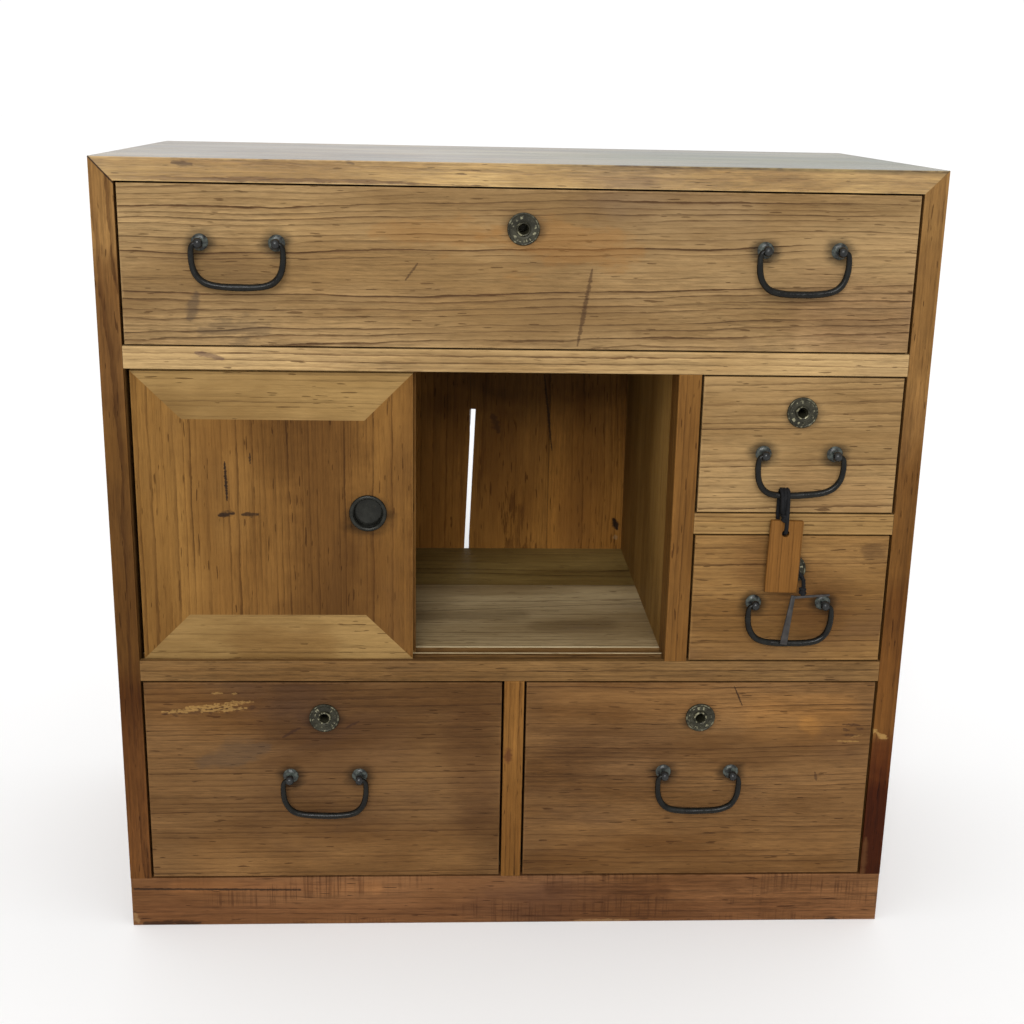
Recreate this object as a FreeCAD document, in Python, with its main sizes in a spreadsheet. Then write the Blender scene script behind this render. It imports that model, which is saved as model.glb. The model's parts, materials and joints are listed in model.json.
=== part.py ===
"""Tansu chest: mitred case, five drawers, two sliding doors, six bail handles, five locks and a hanging key set.

Millimetres. The origin is on the floor, under the middle of the chest with its handles. +X is to the right, +Y to the
back and +Z up.
"""

import FreeCAD, Part
import math
import os
import re

# Driving sizes
CASE_SIZES = {
    "width": 680,
    "depth": 340,
    "board": 18.5,
    "base_height": 47.5,
    "base_rail": 20,
    "bottom_board": 9.5,
    "rail": 18.5,
    "rail_depth": 36,
    "small_rail": 18,
    "bottom_opening": 190.5,
    "lower_small_opening": 116.5,
    "upper_small_opening": 119,
    "top_opening": 130,
    "right_bay": 171.5,
    "divider_post": 19,
    "lower_post": 17.5,
    "lower_post_shift": 0.5,
    "shelf_board": 9.5,
    "dust_board": 8,
    "back_board": 10,
    "back_recess": 6,
    "back_seam": 0.4,
    "back_pitch": 84,
    "back_seam_shift": 34,
    "back_least": 30,
    "slit_width": 4.8,
    "slit_top": 410,
    "slit_lean": 2.2,
    "floor_plank": 104,
    "edge_round": 0.9,
    "overrun": 2,
}
DOOR_SIZES = {
    "door_width": 230,
    "door_board": 11,
    "door_play": 0.5,
    "door_top_gap": 2.7,
    "clamp": 40,
    "track_lip": 6.5,
    "track_ridge": 2,
    "track_sink": 2.8,
    "head_groove": 7,
    "head_groove_sink": 9,
    "head_tongue": 6,
    "head_tongue_rise": 5,
    "front_door_rest": 3.4,
    "rear_door_rest": 5.6,
    "pull_radius": 15.9,
    "pull_rim": 14.4,
    "pull_proud": 1.5,
    "pull_cup": 13.4,
    "pull_bore": 12.2,
    "pull_sink": 7.5,
    "pull_floor": 1,
    "pull_inset": 37.6,
    "pull_rise": 131,
    "pull_fit": 0.05,
}
DRAWER_SIZES = {
    "drawer_side_gap": 2,
    "drawer_top_gap": 1.5,
    "drawer_bottom_gap": 1.3,
    "drawer_setback": 0.6,
    "drawer_rear_gap": 6,
    "front_board": 18,
    "drawer_wall": 9,
    "drawer_bottom": 6,
    "wall_drop": 9,
}
HANDLE_SIZES = {
    "top_handle_inset": 95.5,
    "top_handle_drop": 45,
    "upper_small_handle_drop": 65,
    "lower_small_handle_drop": 60,
    "bottom_left_handle_drop": 88.5,
    "bottom_right_handle_drop": 85.5,
    "post_spacing": 60.5,
    "standoff": 9,
    "post_head": 4.3,
    "post_head_width": 6,
    "shank": 2.2,
    "shank_fit": 0.1,
    "tail_length": 14,
    "tail_width": 3,
    "tail_thickness": 1.2,
    "rosette_foot": 6.8,
    "rosette_crown": 4.4,
    "rosette_rise": 1.8,
    "pin": 2,
    "pin_fit": 0.05,
    "pin_inset": 3.4,
    "bail_side_play": 0.3,
    "bail_shoulder": 2.7,
    "bail_wire": 2.8,
    "bail_drop": 34,
    "bail_corner": 11.5,
}
LOCK_SIZES = {
    "top_lock_drop": 31,
    "small_lock_drop": 29.5,
    "bottom_lock_drop": 33,
    "plate_radius": 13,
    "plate_rise": 1.4,
    "plate_ring": 6.2,
    "plate_ring_wire": 1.1,
    "sleeve": 5,
    "sleeve_fit": 0.1,
    "keyhole": 3,
    "lock_width": 34,
    "lock_height": 48,
    "lock_depth": 11,
    "lock_wall": 3,
    "lock_drop": 0.6,
    "bolt_width": 14,
    "bolt_thickness": 4,
    "bolt_height": 26,
    "bolt_fit": 0.3,
    "bolt_throw": 7,
    "mortise_margin": 1.2,
}
KEY_SIZES = {
    "cord_wire": 1.8,
    "cord_shift": 12.4,
    "tag_width": 28,
    "tag_height": 64,
    "tag_thickness": 5.2,
    "tag_round": 1.2,
    "tag_hole": 3.2,
    "tag_hole_drop": 11,
    "tag_hole_shift": -0.9,
    "tag_forward": 0.6,
    "tag_lean": 1.4,
    "key_bar": 33,
    "key_wire": 2.4,
    "key_blade": 45,
    "key_blade_top": 3.4,
    "key_blade_foot": 6.4,
    "key_blade_lean": 7.1,
    "key_hang": 8.2,
}
SIZES = {**CASE_SIZES, **DOOR_SIZES, **DRAWER_SIZES, **HANDLE_SIZES, **LOCK_SIZES, **KEY_SIZES}

# The cord's points, in millimetres from the middle of the bar that it hangs on, x measured from the wraps
CORD_ROUTE = [
    (2.9, 7.4, -32.0),
    (2.9, 3.0, -32.2),
    (2.8, -5.6, -31.6),
    (2.7, -5.7, -14.0),
    (2.6, -5.3, 5.3),
    (2.5, 5.3, 5.3),
    (2.2, 5.3, -14.5),
    (-1.6, -5.3, -15.0),
    (-2.6, -5.3, 5.3),
    (-2.7, 5.3, 5.3),
    (-3.2, 5.2, -16.0),
    (-1.5, 4.5, -36.0),
    (4.5, 4.2, -55.0),
    (14.6, 4.3, -67.0),
    (22.6, 3.2, -73.5),
    (22.2, -1.5, -78.5),
    (21.0, -5.8, -82.5),
    (21.0, -5.8, -86.5),
]

# Levels and faces, each written in the driving sizes
INNER = "(width / 2 - board)"
HANDLE_REACH = "(standoff + post_head - drawer_setback)"
FRONT = f"({HANDLE_REACH} / 2 - depth / 2)"
BACK = f"({FRONT} + depth)"
BACK_FACE = f"({BACK} - back_recess - back_board)"
LOWER_RAIL_LOW = "(base_height + bottom_opening)"
LOWER_RAIL_TOP = f"({LOWER_RAIL_LOW} + rail)"
SMALL_RAIL_LOW = f"({LOWER_RAIL_TOP} + lower_small_opening)"
SMALL_RAIL_TOP = f"({SMALL_RAIL_LOW} + small_rail)"
UPPER_RAIL_LOW = f"({SMALL_RAIL_TOP} + upper_small_opening)"
UPPER_RAIL_TOP = f"({UPPER_RAIL_LOW} + rail)"
TOP_UNDERSIDE = f"({UPPER_RAIL_TOP} + top_opening)"
HEIGHT = f"({TOP_UNDERSIDE} + board)"
RAIL_BACK = f"({FRONT} + rail_depth)"
POST_RIGHT = f"({INNER} - right_bay)"
POST_LEFT = f"({POST_RIGHT} - divider_post)"
LOWER_POST_LEFT = "(lower_post_shift - lower_post / 2)"
LOWER_POST_RIGHT = "(lower_post_shift + lower_post / 2)"
TRACK = "(door_board + 2 * door_play)"
DRAWER_FACE = f"({FRONT} + drawer_setback)"
DRAWER_REAR = f"({BACK_FACE} - drawer_rear_gap)"
FRONT_BACK = f"({DRAWER_FACE} + front_board)"
PIVOT_Y = f"({DRAWER_FACE} - standoff)"
LEG_X = "(post_spacing / 2 + post_head_width / 2 + bail_side_play + bail_shoulder)"
BOLT_Y = f"({FRONT_BACK} + lock_wall)"

# Each drawer: its opening in the case, its handles' places across it, and how far below its top edge they and the lock are
SMALL_MIDDLE = f"(({POST_RIGHT} + {INNER}) / 2)"
LEFT_MIDDLE = f"(({LOWER_POST_LEFT} - {INNER}) / 2)"
RIGHT_MIDDLE = f"(({LOWER_POST_RIGHT} + {INNER}) / 2)"
TOP_REACH = f"({INNER} - top_handle_inset)"
DRAWERS = {
    "top_drawer": {
        "left": f"(-{INNER})", "right": INNER, "low": UPPER_RAIL_TOP, "high": TOP_UNDERSIDE,
        "bails": {"top_left": f"(-{TOP_REACH})", "top_right": TOP_REACH},
        "middle": "0", "handle_drop": "top_handle_drop", "lock_drop": "top_lock_drop",
    },
    "upper_small": {
        "left": POST_RIGHT, "right": INNER, "low": SMALL_RAIL_TOP, "high": UPPER_RAIL_LOW,
        "bails": {"upper_small": SMALL_MIDDLE},
        "middle": SMALL_MIDDLE, "handle_drop": "upper_small_handle_drop", "lock_drop": "small_lock_drop",
    },
    "lower_small": {
        "left": POST_RIGHT, "right": INNER, "low": LOWER_RAIL_TOP, "high": SMALL_RAIL_LOW,
        "bails": {"lower_small": SMALL_MIDDLE},
        "middle": SMALL_MIDDLE, "handle_drop": "lower_small_handle_drop", "lock_drop": "small_lock_drop",
    },
    "bottom_left": {
        "left": f"(-{INNER})", "right": LOWER_POST_LEFT, "low": "base_height", "high": LOWER_RAIL_LOW,
        "bails": {"bottom_left": LEFT_MIDDLE},
        "middle": LEFT_MIDDLE, "handle_drop": "bottom_left_handle_drop", "lock_drop": "bottom_lock_drop",
    },
    "bottom_right": {
        "left": LOWER_POST_RIGHT, "right": INNER, "low": "base_height", "high": LOWER_RAIL_LOW,
        "bails": {"bottom_right": RIGHT_MIDDLE},
        "middle": RIGHT_MIDDLE, "handle_drop": "bottom_right_handle_drop", "lock_drop": "bottom_lock_drop",
    },
}

# Turns that lay a primitive's own axes along the chest's
X_AXIS, Y_AXIS, Z_AXIS = FreeCAD.Vector(1, 0, 0), FreeCAD.Vector(0, 1, 0), FreeCAD.Vector(0, 0, 1)
UPRIGHT = FreeCAD.Rotation(X_AXIS, 90)
HALF_TURN = FreeCAD.Rotation(Z_AXIS, 180)
ALONG_X = FreeCAD.Rotation(Y_AXIS, 90)
ALONG_BACK = FreeCAD.Rotation(X_AXIS, -90)

WORD = re.compile(r"[a-z_]+")

doc = FreeCAD.newDocument("TansuChest")
sheet = doc.addObject("Spreadsheet::Sheet", "Sizes")
nodes = []


def fill_sheet():
    """Writes every driving size into the sheet, with its name as the cell's alias."""
    for row, (name, value) in enumerate(SIZES.items(), 1):
        sheet.set(f"A{row}", name)
        sheet.set(f"B{row}", str(value))
        sheet.setAlias(f"B{row}", name)
    doc.recompute()


def formula(text):
    """Gives an expression of size names as one that reads the sheet."""
    return WORD.sub(lambda word: f"Sizes.{word[0]}" if word[0] in SIZES else word[0], text)


def value(text):
    """Works an expression of size names out, in millimetres."""
    return float(doc.Sizes.evalExpression(formula(text)))


def bind(thing, **texts):
    """Binds properties of one object to expressions of size names."""
    for name, text in texts.items():
        thing.setExpression(name, formula(text))
    return thing


def put(thing, x, y, z, turn=None):
    """Turns an object and binds its place."""
    if turn is not None:
        thing.Placement = FreeCAD.Placement(FreeCAD.Vector(), turn)
    for axis, text in zip("xyz", (x, y, z)):
        thing.setExpression(f"Placement.Base.{axis}", formula(text))
    return thing


def add(kind, name="Piece"):
    """Adds one object to the document."""
    return doc.addObject(kind, name)


def block(low, high):
    """A box between two corners."""
    spans = [f"({far}) - ({near})" for near, far in zip(low, high)]
    box = bind(add("Part::Box"), **dict(zip(("Length", "Width", "Height"), spans)))
    return put(box, *low)


def rod(radius, length, x, y, z, turn):
    """A cylinder that starts at a point."""
    return put(bind(add("Part::Cylinder"), Radius=radius, Height=length), x, y, z, turn)


def taper(foot, crown, length, x, y, z, turn):
    """A cone that starts at a point."""
    cone = bind(add("Part::Cone"), Radius1=foot, Radius2=crown, Height=length)
    return put(cone, x, y, z, turn)


def quarter(bend, wire, x, y, z, turn):
    """A quarter of a ring, round a point."""
    ring = bind(add("Part::Torus"), Radius1=bend, Radius2=wire)
    ring.Angle3 = 90
    return put(ring, x, y, z, turn)


def mitred(low, high, near, far, near_2, far_2, left, right, turn):
    """A board whose section narrows from one face to the other, as mitred ends do."""
    wedge = bind(
        add("Part::Wedge"), Ymin=low, Ymax=high, Xmin=near, Xmax=far, X2min=near_2, X2max=far_2,
        Zmin=left, Zmax=right, Z2min=left, Z2max=right,
    )
    wedge.Placement = FreeCAD.Placement(FreeCAD.Vector(), turn)
    return wedge


def fuse(*pieces):
    """One solid of several that meet."""
    joined = add("Part::MultiFuse")
    joined.Shapes = list(pieces)
    return joined


def cut(base, *tools):
    """A solid less one or more tools."""
    left = add("Part::Cut")
    left.Base = base
    left.Tool = tools[0] if len(tools) == 1 else group(*tools)
    return left


def common(base, tool):
    """What two solids share."""
    both = add("Part::Common")
    both.Base, both.Tool = base, tool
    return both


def group(*pieces):
    """Separate solids kept together."""
    held = add("Part::Compound")
    held.Links = list(pieces)
    return held


def eased(base, size, chosen):
    """Rounds the edges that a test picks, by a size of the sheet."""
    doc.recompute()
    radius = value(size)
    picked = [n for n, edge in enumerate(base.Shape.Edges, 1) if chosen(edge)]
    rounded = add("Part::Fillet")
    rounded.Base = base
    rounded.Edges = [(n, radius, radius) for n in picked]
    return rounded


def lies_in(axis, place):
    """A test for edges that lie in one plane."""
    level = value(place)

    def test(edge):
        box = edge.BoundBox
        low, high = getattr(box, f"{axis}Min"), getattr(box, f"{axis}Max")
        return math.isclose(low, level, abs_tol=1e-6) and math.isclose(high, level, abs_tol=1e-6)

    return test


def node(name, thing):
    """Names a finished sub-part."""
    thing.Label = name
    nodes.append(thing)
    return thing


def front_eased(low, high):
    """A board with its four front edges eased."""
    return eased(block(low, high), "edge_round", lies_in("Y", low[1]))


# Case
def mortise(x, low):
    """The pocket in a rail's underside that a lock's bolt rises into."""
    side = "(bolt_width / 2 + mortise_margin)"
    return block(
        (f"{x} - {side}", f"{BOLT_Y} - mortise_margin", f"{low} - overrun"),
        (f"{x} + {side}", f"{BOLT_Y} + bolt_thickness + mortise_margin", f"{low} + bolt_throw"),
    )


def door_groove(order, width, low, high):
    """A groove for one door: its middle lies where that door's track does."""
    middle = f"({FRONT} + track_lip + {TRACK} / 2 + {order} * ({TRACK} + track_ridge))"
    return block(
        (f"(-{INNER}) - overrun", f"{middle} - {width} / 2", low),
        (POST_LEFT, f"{middle} + {width} / 2", high),
    )


def build_case():
    """Top, sides, base, rails, posts, boards behind them and the back."""
    top = mitred(
        TOP_UNDERSIDE, HEIGHT, f"-{INNER}", INNER, "-width / 2", "width / 2", f"-{BACK}", f"-{FRONT}", UPRIGHT
    )
    top = eased(top, "edge_round", lambda edge: lies_in("Y", FRONT)(edge) and lies_in("Z", HEIGHT)(edge))
    node("top_board", cut(top, mortise("0", TOP_UNDERSIDE)))
    sides = (("left_side", 90, FRONT, BACK), ("right_side", -90, f"-{BACK}", f"-{FRONT}"))
    for side, quarter_turn, near, far in sides:
        board = bind(
            add("Part::Wedge"), Ymin=INNER, Ymax="width / 2", Xmin=near, Xmax=far, X2min=near,
            X2max=far, Zmin="base_height", Zmax=TOP_UNDERSIDE, Z2min="base_height", Z2max=HEIGHT,
        )
        board.Placement = FreeCAD.Placement(FreeCAD.Vector(), FreeCAD.Rotation(Z_AXIS, quarter_turn))
        node(side, board)

    half = "(width / 2)"
    inside_front, inside_back = f"({FRONT} + base_rail)", f"({BACK} - base_rail)"
    inside = f"({half} - base_rail)"
    node("base_frame", group(
        front_eased((f"-{half}", FRONT, "0"), (half, inside_front, "base_height")),
        block((f"-{half}", inside_front, "0"), (f"-{inside}", BACK, "base_height")),
        block((inside, inside_front, "0"), (half, BACK, "base_height")),
        block((f"-{inside}", inside_back, "0"), (inside, BACK, "base_height")),
    ))
    node("bottom_board", block(
        (f"-{inside}", inside_front, "base_height - bottom_board"), (inside, inside_back, "base_height")
    ))

    upper = front_eased((f"-{INNER}", FRONT, UPPER_RAIL_LOW), (INNER, RAIL_BACK, UPPER_RAIL_TOP))
    groove_span = (f"{UPPER_RAIL_LOW} - overrun", f"{UPPER_RAIL_LOW} + head_groove_sink")
    node("upper_rail", cut(
        upper, door_groove("0", "head_groove", *groove_span), door_groove("1", "head_groove", *groove_span),
        mortise(SMALL_MIDDLE, UPPER_RAIL_LOW),
    ))
    lower = front_eased((f"-{INNER}", FRONT, LOWER_RAIL_LOW), (INNER, RAIL_BACK, LOWER_RAIL_TOP))
    track_span = (f"{LOWER_RAIL_TOP} - track_sink", f"{LOWER_RAIL_TOP} + overrun")
    node("lower_rail", cut(
        lower, door_groove("0", TRACK, *track_span), door_groove("1", TRACK, *track_span),
        mortise(LEFT_MIDDLE, LOWER_RAIL_LOW), mortise(RIGHT_MIDDLE, LOWER_RAIL_LOW),
    ))
    small = front_eased((POST_RIGHT, FRONT, SMALL_RAIL_LOW), (INNER, RAIL_BACK, SMALL_RAIL_TOP))
    node("small_rail", cut(small, mortise(SMALL_MIDDLE, SMALL_RAIL_LOW)))
    node("divider_post", front_eased(
        (POST_LEFT, FRONT, LOWER_RAIL_TOP), (POST_RIGHT, RAIL_BACK, UPPER_RAIL_LOW)
    ))
    node("lower_post", front_eased(
        (LOWER_POST_LEFT, FRONT, "base_height"), (LOWER_POST_RIGHT, RAIL_BACK, LOWER_RAIL_LOW)
    ))

    plank, next_plank = f"({RAIL_BACK} + floor_plank)", f"({RAIL_BACK} + 2 * floor_plank)"
    shelf_low = f"({LOWER_RAIL_TOP} - shelf_board)"
    node("lower_shelf", group(*(
        block((f"-{INNER}", near, shelf_low), (INNER, far, LOWER_RAIL_TOP))
        for near, far in ((RAIL_BACK, plank), (plank, next_plank), (next_plank, BACK_FACE))
    )))
    dust_low = f"({UPPER_RAIL_TOP} - dust_board)"
    node("dust_boards", group(
        block((f"-{INNER}", RAIL_BACK, dust_low), (INNER, BACK_FACE, UPPER_RAIL_TOP)),
        block((POST_RIGHT, RAIL_BACK, f"{SMALL_RAIL_TOP} - dust_board"), (INNER, BACK_FACE, SMALL_RAIL_TOP)),
    ))
    node("partitions", group(
        block((POST_LEFT, RAIL_BACK, LOWER_RAIL_TOP), (POST_RIGHT, BACK_FACE, dust_low)),
        block((LOWER_POST_LEFT, RAIL_BACK, "base_height"), (LOWER_POST_RIGHT, BACK_FACE, shelf_low)),
    ))
    build_back()


def build_back():
    """Upright back boards between the sides, with the open slit at one seam."""
    back = f"({BACK_FACE} + back_board)"
    first = math.ceil(value(f"(back_seam_shift + back_least - {INNER}) / back_pitch"))
    last = math.floor(value(f"(back_seam_shift - back_least + {INNER}) / back_pitch"))
    seams = [f"({step} * back_pitch - back_seam_shift)" for step in range(first, last + 1)]
    lefts = [f"-{INNER}"] + [f"({seam} + back_seam / 2)" for seam in seams]
    rights = [f"({seam} - back_seam / 2)" for seam in seams] + [INNER]
    boards = [
        block((left, BACK_FACE, "base_height"), (right, back, TOP_UNDERSIDE)) for left, right in zip(lefts, rights)
    ]
    slit = bind(
        add("Part::Box"), Length="slit_width", Width="back_board + 2 * overrun",
        Height=f"slit_top - {LOWER_RAIL_TOP} + shelf_board",
    )
    lean = value("slit_lean")
    put(
        slit, f"-back_seam_shift - slit_width / 2 - (slit_top - {LOWER_RAIL_TOP}) * tan(slit_lean * 1 deg) / 2",
        f"{BACK_FACE} - overrun", f"{LOWER_RAIL_TOP} - shelf_board", FreeCAD.Rotation(Y_AXIS, lean),
    )
    node("back_boards", cut(group(*boards), slit))


# Doors
def build_door(name, order, rest):
    """One sliding door: a panel, its two mitred end clamps and its finger pull."""
    left = f"(-{INNER} + {rest})"
    right = f"({left} + door_width)"
    near = f"({FRONT} + track_lip + door_play + {order} * ({TRACK} + track_ridge))"
    far = f"({near} + door_board)"
    low, high = LOWER_RAIL_TOP, f"({UPPER_RAIL_LOW} - door_top_gap)"
    middle = f"({near} + door_board / 2)"

    def clamp(wide, narrow):
        """A clamp's trapezoid, from its long outer edge to its short inner one."""
        lower, upper = (wide, narrow) if wide == low else (narrow, wide)
        ends = [(left, right), (f"({left} + clamp)", f"({right} - clamp)")]
        (near_1, far_1), (near_2, far_2) = ends if wide == low else ends[::-1]
        return mitred(lower, upper, near_1, far_1, near_2, far_2, f"-{far}", f"-{near}", UPRIGHT)

    foot_edge, head_edge = f"({low} + clamp)", f"({high} - clamp)"
    runner = block((left, near, f"{low} - track_sink"), (right, far, low))
    tongue = block(
        (left, f"{middle} - head_tongue / 2", high),
        (right, f"{middle} + head_tongue / 2", f"{UPPER_RAIL_LOW} + head_tongue_rise"),
    )
    node(f"{name}_clamps", group(fuse(clamp(low, foot_edge), runner), fuse(clamp(high, head_edge), tongue)))

    pull_x = f"({right} - pull_inset)" if order == "0" else f"({left} + pull_inset)"
    pull_z = f"({low} + pull_rise)"
    pocket = rod("pull_cup + pull_fit", "pull_sink + overrun", pull_x, f"{near} - overrun", pull_z, ALONG_BACK)
    panel = block((left, near, low), (right, far, high))
    node(f"{name}_panel", cut(panel, clamp(low, foot_edge), clamp(high, head_edge), pocket))

    flange = taper("pull_rim", "pull_radius", "pull_proud", pull_x, f"{near} - pull_proud", pull_z, ALONG_BACK)
    cup = rod("pull_cup", "pull_sink", pull_x, near, pull_z, ALONG_BACK)
    hollow = rod(
        "pull_bore", "pull_proud + pull_sink - pull_floor + overrun", pull_x,
        f"{near} - pull_proud - overrun", pull_z, ALONG_BACK,
    )
    node(f"{name}_pull", cut(fuse(flange, cup), hollow))


# Drawers
def build_drawer(name, plan):
    """One drawer: front, walls, bottom, handle posts, lock and bolt, then its bails."""
    left, right = f"({plan['left']} + drawer_side_gap)", f"({plan['right']} - drawer_side_gap)"
    front_low, front_top = f"({plan['low']} + drawer_bottom_gap)", f"({plan['high']} - drawer_top_gap)"
    handle_z = f"({front_top} - {plan['handle_drop']})"
    lock_z = f"({front_top} - {plan['lock_drop']})"
    post_places = [
        f"({x} {sign} post_spacing / 2)" for x in plan["bails"].values() for sign in "-+"
    ]
    through = (f"{DRAWER_FACE} - overrun", "front_board + 2 * overrun")
    holes = [rod("shank + shank_fit", through[1], x, through[0], handle_z, ALONG_BACK) for x in post_places]
    holes.append(rod("sleeve + sleeve_fit", through[1], plan["middle"], through[0], lock_z, ALONG_BACK))
    node(f"{name}_front", cut(front_eased((left, DRAWER_FACE, front_low), (right, FRONT_BACK, front_top)), *holes))

    wall_low, wall_top = f"({plan['low']} + drawer_bottom)", f"({front_top} - wall_drop)"
    rear = f"({DRAWER_REAR} - drawer_wall)"
    node(f"{name}_walls", group(
        block((left, FRONT_BACK, wall_low), (f"({left} + drawer_wall)", DRAWER_REAR, wall_top)),
        block((f"({right} - drawer_wall)", FRONT_BACK, wall_low), (right, DRAWER_REAR, wall_top)),
        block((f"({left} + drawer_wall)", rear, wall_low), (f"({right} - drawer_wall)", DRAWER_REAR, wall_top)),
    ))
    node(f"{name}_bottom", block((left, FRONT_BACK, plan["low"]), (right, DRAWER_REAR, wall_low)))
    node(f"{name}_posts", group(*(piece for x in post_places for piece in handle_post(x, handle_z))))
    node(f"{name}_lock", group(*lock_pieces(plan["middle"], lock_z, front_top)))
    bolt_side = "(bolt_width / 2)"
    bolt_top = f"({front_top} - lock_drop)"
    node(f"{name}_bolt", block(
        (f"{plan['middle']} - {bolt_side}", BOLT_Y, f"{bolt_top} - bolt_height"),
        (f"{plan['middle']} + {bolt_side}", f"{BOLT_Y} + bolt_thickness", bolt_top),
    ))
    for bail, x in plan["bails"].items():
        node(f"{bail}_bail", bail_bar(x, handle_z))


def handle_post(x, z):
    """A post with its eye and clinched tail, and the rosette under it."""
    ball = put(bind(add("Part::Sphere"), Radius="post_head"), x, PIVOT_Y, z)
    cheek = "(post_head_width / 2)"
    slab = block(
        (f"{x} - {cheek}", f"{PIVOT_Y} - post_head", f"{z} - post_head"),
        (f"{x} + {cheek}", f"{PIVOT_Y} + post_head", f"{z} + post_head"),
    )
    head = common(ball, slab)
    shank = rod("shank", f"{FRONT_BACK} - {PIVOT_Y} + tail_thickness", x, PIVOT_Y, z, ALONG_BACK)
    tail = block(
        (f"{x} - tail_length / 2", FRONT_BACK, f"{z} - tail_width / 2"),
        (f"{x} + tail_length / 2", f"{FRONT_BACK} + tail_thickness", f"{z} + tail_width / 2"),
    )
    eye = rod("pin + pin_fit", "post_head_width + 2 * overrun", f"{x} - {cheek} - overrun", PIVOT_Y, z, ALONG_X)
    cone = taper(
        "rosette_crown", "rosette_foot", "rosette_rise", x, f"{DRAWER_FACE} - rosette_rise", z, ALONG_BACK
    )
    hole = rod(
        "shank + shank_fit", "rosette_rise + 2 * overrun", x, f"{DRAWER_FACE} - rosette_rise - overrun", z, ALONG_BACK
    )
    return cut(fuse(head, shank, tail), eye), cut(cone, hole)


def bail_bar(x, z):
    """A bail: pins in the posts' eyes, shoulders, legs, corners and the bar, as one piece of iron."""
    shoulder_x = f"({LEG_X} - bail_shoulder)"
    pin_start = "(post_spacing / 2 - pin_inset)"
    corner_x, corner_z = f"({LEG_X} - bail_corner)", f"({z} - bail_drop + bail_corner)"
    pieces = [rod("bail_wire", f"2 * {corner_x}", f"{x} - {corner_x}", PIVOT_Y, f"{z} - bail_drop", ALONG_X)]
    for sign, spin in (("+", FreeCAD.Rotation()), ("-", HALF_TURN)):
        start = f"{x} + {pin_start}" if sign == "+" else f"{x} - {shoulder_x}"
        pieces += [
            rod("pin", f"{shoulder_x} - {pin_start}", start, PIVOT_Y, z, ALONG_X),
            quarter(
                "bail_shoulder", "pin", f"{x} {sign} {shoulder_x}", PIVOT_Y, f"{z} - bail_shoulder", spin * UPRIGHT
            ),
            taper(
                "bail_wire", "pin", "bail_drop - bail_corner - bail_shoulder",
                f"{x} {sign} {LEG_X}", PIVOT_Y, corner_z, FreeCAD.Rotation(),
            ),
            quarter(
                "bail_corner", "bail_wire", f"{x} {sign} {corner_x}", PIVOT_Y, corner_z, spin * UPRIGHT.inverted()
            ),
        ]
    return fuse(*pieces)


def lock_pieces(x, z, front_top):
    """The lock's plate with its ring and sleeve, and its case behind the drawer's front."""
    face = f"({DRAWER_FACE} - plate_rise)"
    plate = rod("plate_radius", "plate_rise", x, face, z, ALONG_BACK)
    ring = put(bind(add("Part::Torus"), Radius1="plate_ring", Radius2="plate_ring_wire"), x, face, z, UPRIGHT)
    sleeve = rod("sleeve", "front_board + plate_rise", x, face, z, ALONG_BACK)
    bore = rod("keyhole", "front_board + plate_rise + 2 * overrun", x, f"{face} - overrun", z, ALONG_BACK)
    half, top = "(lock_width / 2)", f"({front_top} - lock_drop)"
    body = block(
        (f"{x} - {half}", FRONT_BACK, f"{top} - lock_height"), (f"{x} + {half}", f"{FRONT_BACK} + lock_depth", top)
    )
    side = "(bolt_width / 2 + bolt_fit)"
    channel = block(
        (f"{x} - {side}", f"{BOLT_Y} - bolt_fit", f"{top} - bolt_height"),
        (f"{x} + {side}", f"{BOLT_Y} + bolt_thickness + bolt_fit", f"{top} + overrun"),
    )
    return cut(fuse(plate, ring, sleeve), bore), cut(body, channel)


# Key set
def build_key_set():
    """The key, the tag and the cord, hung from the bar of the upper small drawer's bail."""
    plan = DRAWERS["upper_small"]
    bar_x = f"({SMALL_MIDDLE} - cord_shift)"
    bar_z = f"({plan['high']} - drawer_top_gap - {plan['handle_drop']} - bail_drop)"
    origin = FreeCAD.Vector(value(bar_x), value(PIVOT_Y), value(bar_z))

    tag = bind(add("Part::Box"), Length="tag_width", Width="tag_thickness", Height="tag_height")
    tag_front = "(-tag_forward - tag_thickness / 2)"
    put(tag, "-tag_width / 2 - tag_hole_shift", tag_front, "tag_hole_drop - tag_height")
    hole = rod("tag_hole", "tag_thickness + 2 * overrun", "0", f"{tag_front} - overrun", "0", ALONG_BACK)
    hung = cut(eased(tag, "tag_round", lambda edge: True), hole)
    first = FreeCAD.Vector(*CORD_ROUTE[1])
    hung.Placement = FreeCAD.Placement(
        origin + FreeCAD.Vector(first.x, 0, first.z), FreeCAD.Rotation(Y_AXIS, value("tag_lean"))
    )
    node("key_tag", hung)

    blade = bind(
        add("Part::Wedge"), Ymin="-key_blade", Ymax="0", Xmin="-key_blade_foot / 2", Xmax="key_blade_foot / 2",
        X2min="-key_blade_top / 2", X2max="key_blade_top / 2", Zmin="0", Zmax="key_wire", Z2min="0", Z2max="key_wire",
    )
    blade.Placement = FreeCAD.Placement(FreeCAD.Vector(), FreeCAD.Rotation(Y_AXIS, value("key_blade_lean")) * UPRIGHT)
    arm = bind(add("Part::Box"), Length="key_bar", Width="key_wire", Height="key_wire")
    put(arm, "-key_blade_top / 2", "-key_wire", "-key_wire")
    key = fuse(blade, arm)
    seat = FreeCAD.Vector(*CORD_ROUTE[-1]) + FreeCAD.Vector(-value("key_hang"), value("key_wire / 2"), 0)
    key.Placement = FreeCAD.Placement(origin + seat, FreeCAD.Rotation())
    node("key", key)

    cord = add("Part::Feature")
    cord.Shape = cord_tube([FreeCAD.Vector(*point) for point in CORD_ROUTE], value("cord_wire"))
    cord.Placement = FreeCAD.Placement(origin, FreeCAD.Rotation())
    node("key_cord", cord)


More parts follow.
